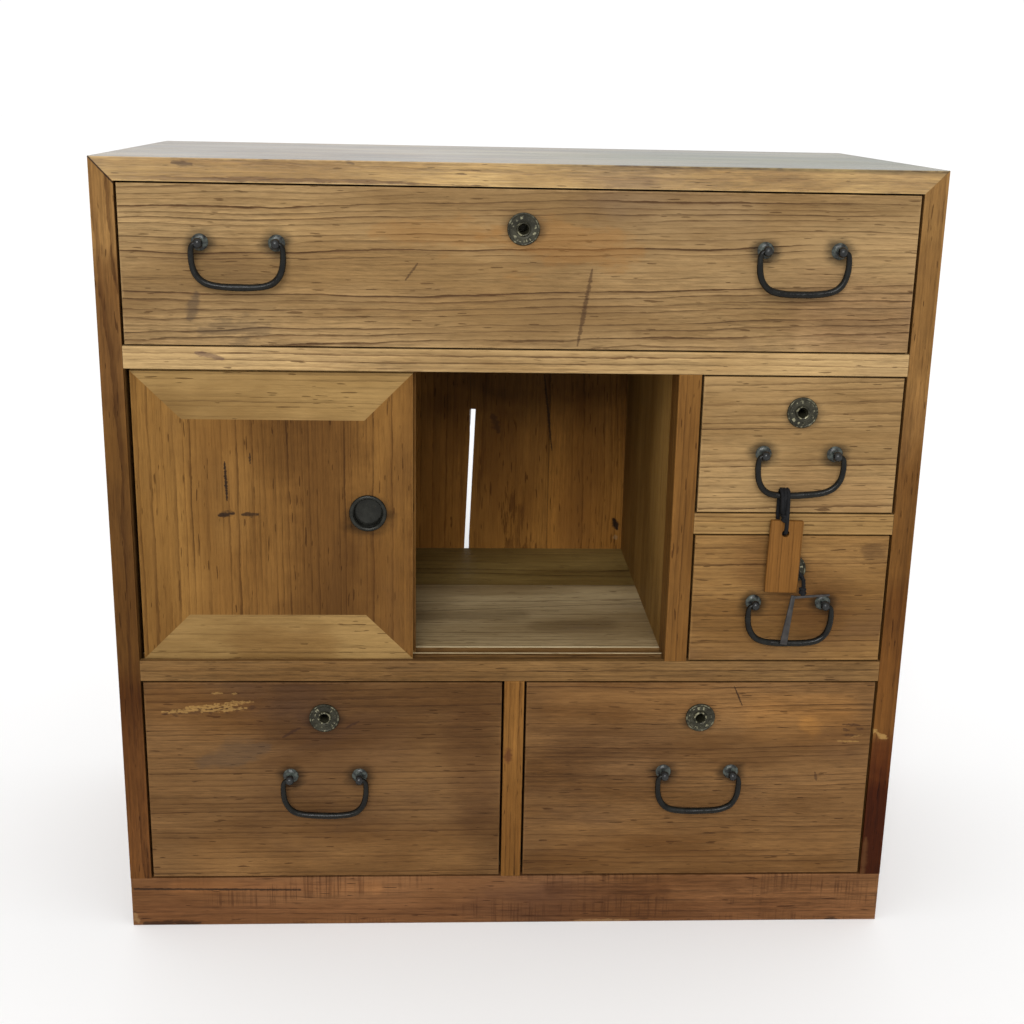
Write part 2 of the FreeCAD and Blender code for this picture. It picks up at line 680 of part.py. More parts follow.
def cord_tube(points, wire):
    """One unbroken tube along straight runs and the arcs that join them."""
    bend_share = 0.45
    edges, at, radii = [], points[0], []
    for before, corner, after in zip(points, points[1:], points[2:]):
        inward, outward = (before - corner), (after - corner)
        shorter = min(inward.Length, outward.Length)
        inward.normalize()
        outward.normalize()
        turn = math.pi - inward.getAngle(outward)
        setback = bend_share * shorter
        radii.append(setback / math.tan(turn / 2))
        start, end = corner + inward * setback, corner + outward * setback
        bisector = (inward + outward).normalize()
        reach = radii[-1] / math.cos(turn / 2) - radii[-1]
        edges += [Part.LineSegment(at, start).toShape(), Part.Arc(start, corner + bisector * reach, end).toShape()]
        at = end
    edges.append(Part.LineSegment(at, points[-1]).toShape())
    path = Part.Wire(edges)
    profile = Part.Wire(Part.makeCircle(wire, points[0], points[1] - points[0]))
    tube = path.makePipeShell([profile], True, False)
    wanted = math.pi * wire**2 * path.Length
    print("cord length", round(path.Length, 1), "radii", [round(r, 1) for r in radii])
    print("cord volume against section times length", round(tube.Volume / wanted, 4))
    print("cord's least gap to itself", round(least_gap(path, wire), 2))
    return tube


def least_gap(path, wire):
    """The least clear space between stretches of the cord that lie more than a few diameters apart along it."""
    step_share, apart_share = 0.25, 8.0
    places = path.discretize(Distance=step_share * wire)
    skip = round(apart_share / step_share)
    gaps = (a.distanceToPoint(b) for n, a in enumerate(places) for b in places[n + skip:])
    return min(gaps) - 2 * wire


def write_parts():
    """Checks every object of the document, then writes each sub-part's solids."""
    doc.recompute()
    failed = [thing.Label for thing in doc.Objects if {"Invalid", "Error"} & set(thing.State)]
    failed += [part.Label for part in nodes if part.Shape.isNull() or not part.Shape.isValid()]
    if failed:
        raise RuntimeError(f"not built: {failed}")
    os.makedirs("parts", exist_ok=True)
    for part in nodes:
        part.Shape.exportStep(f"parts/{part.Label}.step")
    print(len(nodes), "nodes,", sum(len(part.Shape.Solids) for part in nodes), "solids")


fill_sheet()
build_case()
build_door("front_door", "0", "front_door_rest")
build_door("rear_door", "1", "rear_door_rest")
for drawer_name, drawer_plan in DRAWERS.items():
    build_drawer(drawer_name, drawer_plan)
build_key_set()
write_parts()
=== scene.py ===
"""Looks of the tansu chest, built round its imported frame.

Metres, in the frame's own axes: +X to the right, +Y to the back, +Z up.
"""

import json
import logging
import math
from collections.abc import Callable, Iterator, Sequence
from contextlib import contextmanager
from dataclasses import dataclass
from enum import Enum

import bmesh
import bpy
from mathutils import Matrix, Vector


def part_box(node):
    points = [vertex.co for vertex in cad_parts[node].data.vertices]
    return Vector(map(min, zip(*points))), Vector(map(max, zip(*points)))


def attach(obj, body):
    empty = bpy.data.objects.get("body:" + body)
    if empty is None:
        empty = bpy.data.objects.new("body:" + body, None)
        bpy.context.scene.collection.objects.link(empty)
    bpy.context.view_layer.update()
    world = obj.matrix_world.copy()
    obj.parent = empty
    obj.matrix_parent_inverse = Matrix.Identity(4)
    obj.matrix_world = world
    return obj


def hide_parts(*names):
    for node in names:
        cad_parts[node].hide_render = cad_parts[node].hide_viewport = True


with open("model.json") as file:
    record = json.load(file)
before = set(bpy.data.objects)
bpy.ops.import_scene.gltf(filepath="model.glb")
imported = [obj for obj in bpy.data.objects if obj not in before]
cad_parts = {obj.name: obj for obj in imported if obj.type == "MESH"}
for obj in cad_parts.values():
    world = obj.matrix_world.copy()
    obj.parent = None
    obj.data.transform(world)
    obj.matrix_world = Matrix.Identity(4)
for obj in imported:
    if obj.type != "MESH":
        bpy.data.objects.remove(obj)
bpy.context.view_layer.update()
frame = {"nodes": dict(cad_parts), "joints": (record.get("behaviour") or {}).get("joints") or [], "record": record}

LOG = logging.getLogger("tansu_chest")
MM = 0.001
Colour = tuple[float, float, float]
Socket = bpy.types.NodeSocket
Feed = float | Sequence[float] | Socket


# Shader graphs
class Graph:
    """Adds nodes to one shader tree and links them as they are made."""

    def __init__(self, tree: bpy.types.NodeTree) -> None:
        """Keeps the tree that the nodes go into."""
        self.tree = tree

    def feed(self, socket: Socket, value: Feed) -> None:
        """Links a socket to another, or sets it.

        Args:
            socket: The input.
            value: A socket to link from, a number or a few numbers.
        """
        if isinstance(value, bpy.types.NodeSocket):
            self.tree.links.new(value, socket)
        elif isinstance(value, (int, float)):
            socket.default_value = value
        else:
            room = len(socket.default_value)
            socket.default_value = (*value, 1.0)[:room]

    def put(
        self, kind: str, inputs: dict[str | int, Feed] | None = None, **settings: object
    ) -> bpy.types.Node:
        """Adds one node.

        Args:
            kind: The node's type name.
            inputs: What each input gets, by name or number.
            settings: The node's own properties.

        Returns:
            The node.
        """
        node = self.tree.nodes.new(kind)
        for name, value in settings.items():
            setattr(node, name, value)
        for key, value in (inputs or {}).items():
            self.feed(node.inputs[key], value)
        return node

    def math(self, operation: str, first: Feed, second: Feed = 0.0, third: Feed = 0.0) -> Socket:
        """Works out one sum of numbers, by the Math node's operation."""
        inputs = {0: first, 1: second, 2: third}
        return self.put("ShaderNodeMath", inputs, operation=operation).outputs[0]

    def times(self, first: Feed, second: Feed) -> Socket:
        """Multiplies two numbers."""
        return self.math("MULTIPLY", first, second)

    def plus(self, first: Feed, second: Feed) -> Socket:
        """Adds two numbers."""
        return self.math("ADD", first, second)

    def less(self, first: Feed, second: Feed) -> Socket:
        """Takes the second number from the first."""
        return self.math("SUBTRACT", first, second)

    def times_plus(self, first: Feed, second: Feed, third: Feed) -> Socket:
        """Multiplies two numbers and adds a third."""
        return self.math("MULTIPLY_ADD", first, second, third)

    def vector(self, operation: str, first: Feed, second: Feed = (0, 0, 0)) -> Socket:
        """Works out one vector from others, by the Vector Math node's operation."""
        return self.put("ShaderNodeVectorMath", {0: first, 1: second}, operation=operation).outputs[0]

    def measure(self, operation: str, first: Feed, second: Feed = (0, 0, 0)) -> Socket:
        """Works out one number from vectors, by the Vector Math node's operation."""
        return self.put("ShaderNodeVectorMath", {0: first, 1: second}, operation=operation).outputs[1]

    def stretch(self, place: Feed, scale: Sequence[float]) -> Socket:
        """Scales a place along each axis by itself."""
        return self.vector("MULTIPLY", place, scale)

    def scaled(self, place: Feed, size: Feed) -> Socket:
        """Scales a place alike along all axes."""
        return self.put("ShaderNodeVectorMath", {0: place, 3: size}, operation="SCALE").outputs[0]

    def axes(self, place: Feed) -> bpy.types.NodeOutputs:
        """Takes a place apart into x, y and z."""
        return self.put("ShaderNodeSeparateXYZ", {0: place}).outputs

    def place(self) -> Socket:
        """Gives the place on the piece, in Object coordinates."""
        return self.put("ShaderNodeTexCoord").outputs["Object"]

    def noise(
        self, place: Feed, seed: Feed, scale: float = 1.0, detail: float = 2.0, rough: float = 0.5
    ) -> Socket:
        """Makes soft noise about one half, from its waves per unit, finer layers and their weight."""
        inputs = {"Vector": place, "W": seed, "Scale": scale, "Detail": detail, "Roughness": rough}
        return self.put("ShaderNodeTexNoise", inputs, noise_dimensions="4D").outputs[0]

    def chance(self, seed: Feed) -> Socket:
        """Draws one number between zero and one for each seed."""
        return self.put("ShaderNodeTexWhiteNoise", {"W": seed}, noise_dimensions="1D").outputs[0]

    def step(self, value: Feed, low: Feed, high: Feed, start: Feed = 0.0, end: Feed = 1.0) -> Socket:
        """Goes smoothly from start to end while a value crosses the span from low to high."""
        inputs = {0: value, 1: low, 2: high, 3: start, 4: end}
        return self.put("ShaderNodeMapRange", inputs, interpolation_type="SMOOTHSTEP").outputs[0]

    def mix(self, share: Feed, first: Feed, second: Feed, blend: str = "MIX") -> Socket:
        """Mixes two colours, by the share of the second and the way that they mix."""
        inputs = {0: share, 6: first, 7: second}
        return self.put("ShaderNodeMix", inputs, data_type="RGBA", blend_type=blend).outputs[2]

    def lift(self, shader: bpy.types.Node, height: Feed, distance: float) -> None:
        """Raises a shader's surface by a height, to a distance at most."""
        bump = self.put("ShaderNodeBump", {"Distance": distance, "Height": height})
        self.feed(shader.inputs["Normal"], bump.outputs[0])


class Kind(Enum):
    """Sockets that a shader group can have."""

    NUMBER = "NodeSocketFloat"
    VECTOR = "NodeSocketVector"
    COLOUR = "NodeSocketColor"


class ShaderGroup:
    """An effect that several materials use, built once."""

    name: str
    takes: dict[str, Kind]
    gives: dict[str, Kind]

    def __init__(self) -> None:
        """Makes the group's sockets and draws its nodes."""
        self.tree = bpy.data.node_groups.new(self.name, "ShaderNodeTree")
        for sockets, way in ((self.takes, "INPUT"), (self.gives, "OUTPUT")):
            for label, kind in sockets.items():
                self.tree.interface.new_socket(label, in_out=way, socket_type=kind.value)
        graph = Graph(self.tree)
        taken = graph.put("NodeGroupInput").outputs
        graph.put("NodeGroupOutput", self.draw(graph, taken))

    def draw(self, graph: Graph, taken: bpy.types.NodeOutputs) -> dict[str, Feed]:
        """Draws the effect.

        Args:
            graph: Where its nodes go.
            taken: The group's inputs.

        Returns:
            What each output gets.
        """
        raise NotImplementedError

    def use(self, graph: Graph, **inputs: Feed) -> bpy.types.NodeOutputs:
        """Places the effect in a material with its own values.

        Args:
            graph: The material's graph.
            inputs: The values, by the inputs' names with underscores for spaces.

        Returns:
            The group's outputs.
        """
        node = graph.put("ShaderNodeGroup", node_tree=self.tree)
        for label, value in inputs.items():
            graph.feed(node.inputs[label.replace("_", " ")], value)
        return node.outputs


@dataclass(frozen=True)
class Layer:
    """One layer of noise drawn out along the grain, drawn as a mask where it has a span."""

    along: float
    across: float
    shift: float = 0.0
    detail: float = 1.0
    rough: float = 0.5
    span: tuple[float, ...] = ()

    def draw(self, graph: Graph, place: Socket, seed: Socket) -> Socket:
        """Draws the layer.

        Args:
            graph: Where its nodes go.
            place: The place on the board's own axes.
            seed: Which noise the board has.

        Returns:
            The noise, or the mask.
        """
        drawn_out = graph.stretch(place, (self.along, self.across, self.across))
        value = graph.noise(drawn_out, graph.plus(seed, self.shift), detail=self.detail, rough=self.rough)
        return graph.step(value, *self.span) if self.span else value


class WoodFigure(ShaderGroup):
    """Year rings cut by the board's face, fibres, pores, flecks, tone and stains."""

    name = "wood_figure"
    takes = {
        "Place": Kind.VECTOR, "Seed": Kind.NUMBER, "Pith": Kind.VECTOR, "Pitch": Kind.NUMBER,
        "Wander": Kind.NUMBER, "Light": Kind.COLOUR, "Dark": Kind.COLOUR, "Line": Kind.COLOUR,
        "Stain": Kind.COLOUR, "Stain Level": Kind.NUMBER, "Grit": Kind.NUMBER, "Lines": Kind.NUMBER,
        "Plank Width": Kind.NUMBER, "Plank Start": Kind.NUMBER,
    }
    gives = {"Colour": Kind.COLOUR, "Height": Kind.NUMBER, "Dull": Kind.NUMBER}
    # From one plank to the next: its noise, its tone and the place of its pith
    seed_step = 3.71
    tone_range = 0.24
    tone_floor = 0.88
    pith_step = 0.037
    # Noise in the wood
    fibre = Layer(9.0, 460.0, 1.0, 3.0, 0.70)
    fleck = Layer(70.0, 760.0, 5.0, 3.0, 0.75)
    patch = Layer(5.0, 22.0, 8.0, 2.0, span=(0.30, 0.70, 0.45, 1.35))
    pore = Layer(48.0, 700.0, 9.0, span=(0.58, 0.70))
    nick = Layer(52.0, 520.0, 12.0, span=(0.69, 0.73))
    cloud = Layer(3.6, 15.0, 4.0, 5.0, 0.62, span=(0.34, 0.66))
    soil = Layer(5.0, 11.0, 6.0, 5.0, 0.62)
    soil_span = (0.52, 0.80)
    # How much each shows in the colour
    fibre_share = 1.1
    fleck_share = 0.9
    soil_share = 0.75
    late_share = 0.88
    pore_share = 0.7
    nick_share = 0.75
    least_tint = 0.2
    # How deep each lies, and how much it dulls the surface
    fine_rise = 0.8
    late_depth = -0.6
    nick_depth = -0.8
    pore_depth = -0.6
    fibre_dull = 0.16
    soil_dull = 0.08
    # Year rings: their wandering, their uneven widths and the dark late wood in each
    sway = Layer(1.8, 5.0)
    ripple = Layer(8.0, 30.0, detail=2.0)
    ripple_share = 0.30
    sway_middle = 0.65
    season_waves = 48.0
    season_spread = 2.8
    fray = Layer(45.0, 380.0, 2.0, 3.0, 0.65)
    fray_share = 0.45
    broken = Layer(6.0, 70.0, detail=3.0, rough=0.6)
    late_end = 0.93
    late_fade = (0.95, 1.0)
    haze_rise = (0.05, 0.90)
    haze_fade = (0.94, 1.0, 0.30, 0.0)
    whole_span = (0.34, 0.56, 0.35, 1.0)

    def draw(self, graph: Graph, taken: bpy.types.NodeOutputs) -> dict[str, Feed]:
        """Draws the figure from the board's own axes: along the grain, across it and through it.

        Args:
            graph: Where its nodes go.
            taken: The group's inputs.

        Returns:
            What each output gets.
        """
        place = taken["Place"]
        plank = graph.less(graph.axes(place)[1], taken["Plank Start"])
        plank = graph.math("FLOOR", graph.math("DIVIDE", plank, taken["Plank Width"]))
        seed = graph.times_plus(plank, self.seed_step, taken["Seed"])
        late = graph.times(self.rings(graph, taken, seed, plank), taken["Lines"])
        fibre = self.fibre.draw(graph, place, seed)
        fleck = self.fleck.draw(graph, place, seed)
        rough = self.patch.draw(graph, place, seed)
        pore = graph.times(self.pore.draw(graph, place, seed), graph.times_plus(late, 0.70, 0.30))
        nick = self.nick.draw(graph, place, seed)
        cloud = self.cloud.draw(graph, place, seed)
        soil = graph.plus(self.soil.draw(graph, place, seed), taken["Stain Level"])
        soil = graph.step(soil, *self.soil_span)

        colour = graph.mix(cloud, taken["Light"], taken["Dark"])
        colour = graph.mix(graph.times(soil, self.soil_share), colour, taken["Stain"])
        colour = graph.mix(graph.times(late, self.late_share), colour, taken["Line"])
        fine = graph.plus(graph.times(fibre, self.fibre_share), graph.times(fleck, self.fleck_share))
        fine = graph.times(graph.less(fine, 1.0), graph.times(taken["Grit"], rough))
        plank_tone = graph.times_plus(graph.chance(seed), self.tone_range, self.tone_floor)
        shade = graph.math("MAXIMUM", graph.times(graph.plus(fine, 1.0), plank_tone), self.least_tint)
        shades = graph.put("ShaderNodeCombineColor", {0: shade, 1: shade, 2: shade}).outputs[0]
        colour = graph.mix(1.0, colour, shades, "MULTIPLY")
        seen = graph.times(pore, graph.times(taken["Grit"], self.pore_share))
        colour = graph.mix(seen, colour, taken["Line"])
        colour = graph.mix(graph.times(nick, self.nick_share), colour, taken["Line"])
        height = graph.times_plus(late, self.late_depth, graph.times(fine, self.fine_rise))
        height = graph.times_plus(nick, self.nick_depth, height)
        height = graph.times_plus(pore, self.pore_depth, height)
        dull = graph.plus(graph.times(fibre, self.fibre_dull), graph.times(soil, self.soil_dull))
        return {"Colour": colour, "Height": height, "Dull": dull}

    def rings(self, graph: Graph, taken: bpy.types.NodeOutputs, seed: Socket, plank: Socket) -> Socket:
        """Draws the year rings as thin, frayed and broken lines.

        Args:
            graph: Where the nodes go.
            taken: The group's inputs.
            seed: Which noise the plank has.
            plank: The plank's number.

        Returns:
            A mask of the rings' dark late wood.
        """
        place = taken["Place"]
        along, across, through = graph.axes(place)
        pith_across, pith_through, tilt = graph.axes(taken["Pith"])
        sway = graph.less(self.sway.draw(graph, place, seed), self.sway_middle)
        shift = graph.times_plus(self.ripple.draw(graph, place, seed), self.ripple_share, sway)
        shift = graph.times(shift, taken["Wander"])
        side = graph.plus(graph.less(across, pith_across), graph.times(plank, self.pith_step))
        side = graph.plus(side, shift)
        deep = graph.times_plus(along, tilt, graph.less(through, pith_through))
        deep = graph.plus(deep, shift)
        reach = graph.math("SQRT", graph.plus(graph.times(side, side), graph.times(deep, deep)))
        seasons = graph.put("ShaderNodeCombineXYZ", {0: graph.times(reach, self.season_waves)}).outputs[0]
        ring = graph.math("DIVIDE", reach, taken["Pitch"])
        ring = graph.times_plus(graph.noise(seasons, seed, detail=1.0), self.season_spread, ring)
        ring = graph.times_plus(self.fray.draw(graph, place, seed), self.fray_share, ring)
        phase = graph.math("FRACT", ring)
        year = graph.chance(graph.plus(graph.math("FLOOR", ring), seed))
        broken = self.broken.draw(graph, place, seed)
        start = graph.times_plus(broken, -0.90, 1.08)
        band = graph.less(graph.step(phase, start, self.late_end), graph.step(phase, *self.late_fade))
        haze = graph.times(graph.step(phase, *self.haze_rise), graph.step(phase, *self.haze_fade))
        strong = graph.times_plus(year, 0.85, 0.15)
        whole = graph.step(broken, *self.whole_span)
        return graph.times(graph.math("MAXIMUM", band, haze), graph.times(strong, whole))


class WornArris(ShaderGroup):
    """A mask of a board's edges, uneven along them."""

    name = "worn_arris"
    takes = {
        "Place": Kind.VECTOR, "Low": Kind.VECTOR, "High": Kind.VECTOR, "Width": Kind.NUMBER,
        "Seed": Kind.NUMBER,
    }
    gives = {"Mask": Kind.NUMBER}
    chip_waves = 70.0
    chip_span = (0.34, 0.72, 0.15, 1.9)

    def draw(self, graph: Graph, taken: bpy.types.NodeOutputs) -> dict[str, Feed]:
        """Takes the second least distance to the board's faces, which is that to its nearest edge.

        Args:
            graph: Where its nodes go.
            taken: The group's inputs.

        Returns:
            What each output gets.
        """
        below = graph.vector("SUBTRACT", taken["Place"], taken["Low"])
        above = graph.vector("SUBTRACT", taken["High"], taken["Place"])
        one, two, three = graph.axes(graph.vector("MINIMUM", below, above))
        nearer = graph.math("MINIMUM", one, two)
        farther = graph.math("MAXIMUM", one, two)
        second = graph.math("MAXIMUM", nearer, graph.math("MINIMUM", farther, three))
        chips = graph.noise(taken["Place"], taken["Seed"], scale=self.chip_waves, detail=4.0, rough=0.65)
        width = graph.times(taken["Width"], graph.step(chips, *self.chip_span))
        return {"Mask": graph.step(second, 0.0, width, 1.0, 0.0)}


class Stroke(ShaderGroup):
    """A mask of one mark drawn across a front: a scratch, split, smear or scrape."""

    name = "stroke"
    takes = {
        "Place": Kind.VECTOR, "Start": Kind.VECTOR, "End": Kind.VECTOR, "Width": Kind.NUMBER,
        "Ragged": Kind.NUMBER, "Face": Kind.NUMBER, "Taper": Kind.NUMBER, "Soft": Kind.NUMBER,
    }
    gives = {"Mask": Kind.NUMBER}
    front_plane = (1, 0, 1)
    fray_waves = 0.7
    fray_drawn_out = (0.55, 1.0, 1.5)
    fray_reach = 4.0
    face_span = (0.001, 0.004, 1.0, 0.0)

    def draw(self, graph: Graph, taken: bpy.types.NodeOutputs) -> dict[str, Feed]:
        """Measures the distance to the mark's line, seen from the front, and frays it.

        Args:
            graph: Where its nodes go.
            taken: The group's inputs.

        Returns:
            What each output gets.
        """
        flat, start, end = (graph.stretch(taken[key], self.front_plane) for key in ("Place", "Start", "End"))
        line = graph.vector("SUBTRACT", end, start)
        away = graph.vector("SUBTRACT", flat, start)
        share = graph.math(
            "DIVIDE", graph.measure("DOT_PRODUCT", away, line), graph.measure("DOT_PRODUCT", line, line)
        )
        share = graph.math("MINIMUM", graph.math("MAXIMUM", share, 0.0), 1.0)
        gap = graph.measure("LENGTH", graph.vector("SUBTRACT", away, graph.scaled(line, share)))
        middle = graph.times_plus(share, 2.0, -1.0)
        slim = graph.less(1.0, graph.times(graph.times(middle, middle), taken["Taper"]))
        width = graph.times(taken["Width"], slim)
        fray = graph.scaled(flat, graph.math("DIVIDE", self.fray_waves, taken["Width"]))
        fray = graph.noise(graph.stretch(fray, self.fray_drawn_out), 2.0, detail=4.0, rough=0.65)
        fray = graph.times(graph.less(fray, 0.5), taken["Ragged"])
        gap = graph.times_plus(graph.times(fray, width), self.fray_reach, gap)
        core = graph.times(width, graph.less(1.0, taken["Soft"]))
        mask = graph.step(gap, core, width, 1.0, 0.0)
        depth = graph.less(graph.axes(taken["Place"])[1], taken["Face"])
        return {"Mask": graph.times(mask, graph.step(depth, *self.face_span))}


class ForgedScale(ShaderGroup):
    """The blotched, pitted skin of old worked metal."""

    name = "forged_scale"
    takes = {
        "Place": Kind.VECTOR, "Base": Kind.COLOUR, "Bloom": Kind.COLOUR, "Rust": Kind.COLOUR,
        "Grain": Kind.NUMBER,
    }
    gives = {"Colour": Kind.COLOUR, "Height": Kind.NUMBER, "Dull": Kind.NUMBER}
    blotch_span = (0.35, 0.70)
    blotch_dull = 0.14
    speck_span = (0.60, 0.74)
    speck_share = 0.7
    speck_dull = 0.2
    pit_share = 0.35

    def draw(self, graph: Graph, taken: bpy.types.NodeOutputs) -> dict[str, Feed]:
        """Mixes the bare metal with its bloom and with specks of rust.

        Args:
            graph: Where its nodes go.
            taken: The group's inputs.

        Returns:
            What each output gets.
        """
        place = graph.scaled(taken["Place"], taken["Grain"])
        blotch = graph.noise(place, 1.0, scale=0.35, detail=4.0, rough=0.6)
        blotch = graph.step(blotch, *self.blotch_span)
        dents = graph.noise(place, 3.0, scale=0.55, detail=2.0)
        pits = graph.noise(place, 5.0, scale=2.6, detail=3.0, rough=0.6)
        specks = graph.noise(place, 7.0, scale=1.1, detail=5.0, rough=0.7)
        specks = graph.step(specks, *self.speck_span)
        colour = graph.mix(blotch, taken["Base"], taken["Bloom"])
        colour = graph.mix(graph.times(specks, self.speck_share), colour, taken["Rust"])
        height = graph.times_plus(pits, self.pit_share, dents)
        dull = graph.plus(graph.times(blotch, self.blotch_dull), graph.times(specks, self.speck_dull))
        return {"Colour": colour, "Height": height, "Dull": dull}


WOOD, ARRIS, STROKE, SCALE = WoodFigure(), WornArris(), Stroke(), ForgedScale()


# Finishes
class Cut(Enum):
    """How a board lies: its axes along the grain, across its face and through it."""

    LEVEL_FRONT = "XZY"
    UPRIGHT_FRONT = "ZXY"
    LEVEL_TOP = "XYZ"
    UPRIGHT_SIDE = "ZYX"
    DEPTH_SIDE = "YZX"


class Blend(Enum):
    """How a mark lies on the wood: over it, or as a tint of it."""

    COVER = "MIX"
    TINT = "MULTIPLY"


@dataclass(frozen=True)
class Mark:
    """One mark on a board, by its ends as seen from the front or from above, in millimetres."""

    start: tuple[float, float]
    end: tuple[float, float]
    width: float
    tone: Colour
    strength: float = 0.8
    sink: float = 0.0
    ragged: float = 0.8
    taper: float = 0.55
    blend: Blend = Blend.COVER
    soft: float = 0.75
    above: bool = False


# Dark halo round old metal: a real stain and a painted contact shadow, set a little below the metal
METAL_STAIN_AND_SHADOW: Colour = (0.20, 0.22, 0.26)
STAIN_AND_SHADOW_DROP = 1.0
STAIN_AND_SHADOW_HALF_LENGTH = 2.0
SOFT_FRAY = 0.35
CRISP_BELOW = 0.3


def tint(
    start: tuple[float, float], end: tuple[float, float], width: float, tone: Colour, soft: float = 0.75,
    above: bool = False,
) -> Mark:
    """Makes a broad patch that shades the wood and leaves its figure.

    Args:
        start: One end of its middle line.
        end: The other end.
        width: Its reach from that line.
        tone: What it multiplies the wood's colour by.
        soft: The share of its reach over which it fades.
        above: Whether it is on the upper face.

    Returns:
        The patch.
    """
    ragged = SOFT_FRAY if soft > CRISP_BELOW else 0.0
    return Mark(
        start, end, width, tone, 1.0, ragged=ragged, taper=0.0, blend=Blend.TINT, soft=soft, above=above
    )


def halo(place: Vector, width: float) -> Mark:
    """Makes the soft dark stain that old metal leaves round itself, with a painted contact shadow, a little lower
    than the metal.

    Args:
        place: The middle of the metal.
        width: The reach of the stain and painted shadow, in millimetres.

    Returns:
        The stain and painted shadow.
    """
    x, z = place.x / MM, place.z / MM - STAIN_AND_SHADOW_DROP
    start, end = (x - STAIN_AND_SHADOW_HALF_LENGTH, z), (x + STAIN_AND_SHADOW_HALF_LENGTH, z)
    return Mark(start, end, width, METAL_STAIN_AND_SHADOW, 0.9, ragged=SOFT_FRAY, taper=0.0, blend=Blend.TINT)


def new_material(name: str) -> tuple[bpy.types.Material, Graph, bpy.types.Node]:
    """Starts a material.

    Args:
        name: Its name.

    Returns:
        The material, its graph and its shader.
    """
    material = bpy.data.materials.new(name)
    material.use_nodes = True
    shader = material.node_tree.nodes["Principled BSDF"]
    return material, Graph(material.node_tree), shader


@dataclass(frozen=True)
class WoodTone:
    """Colour and figure of one sort of board, all its shades taken from the mean."""

    mean: Colour
    stain_level: float = 0.0
    pitch: float = 0.0046
    wander: float = 0.016
    grit: float = 1.2
    lines: float = 1.0
    blotch: float = 1.0
    rough: float = 0.56
    coat: float = 0.0
    # Share of dust and painted sheen laid on upward faces
    shine: float = 0.07
    dust_and_sheen: float = 0.0
    worn_share: float = 0.35
    relief: float = 0.0005

    def shade(self, shares: Colour, spread: float = 1.0) -> Colour:
        """Makes a shade of the mean.

        Args:
            shares: Factors of red, green and blue.
            spread: How far the factors are drawn from one.

        Returns:
            The shade.
        """
        red, green, blue = (
            value * (1 + (share - 1) * spread) for value, share in zip(self.mean, shares)
        )
        return red, green, blue


# Shades of a board's mean colour, and the dust and painted sheen on its upward faces
EARLY_WOOD: Colour = (1.36, 1.40, 1.46)
DARK_CLOUD: Colour = (0.80, 0.75, 0.68)
LATE_WOOD: Colour = (0.33, 0.26, 0.24)
SOILED: Colour = (0.62, 0.62, 0.86)
RUBBED_EDGE: Colour = (1.7, 1.75, 1.9)
SAWN: Colour = (0.42, 0.36, 0.38)
DUST_AND_SHEEN: Colour = (0.40, 0.46, 0.49)
COAT_ROUGHNESS = 0.22
ONE_PLANK = (50.0, -25.0)
DULL_MEAN = 0.08


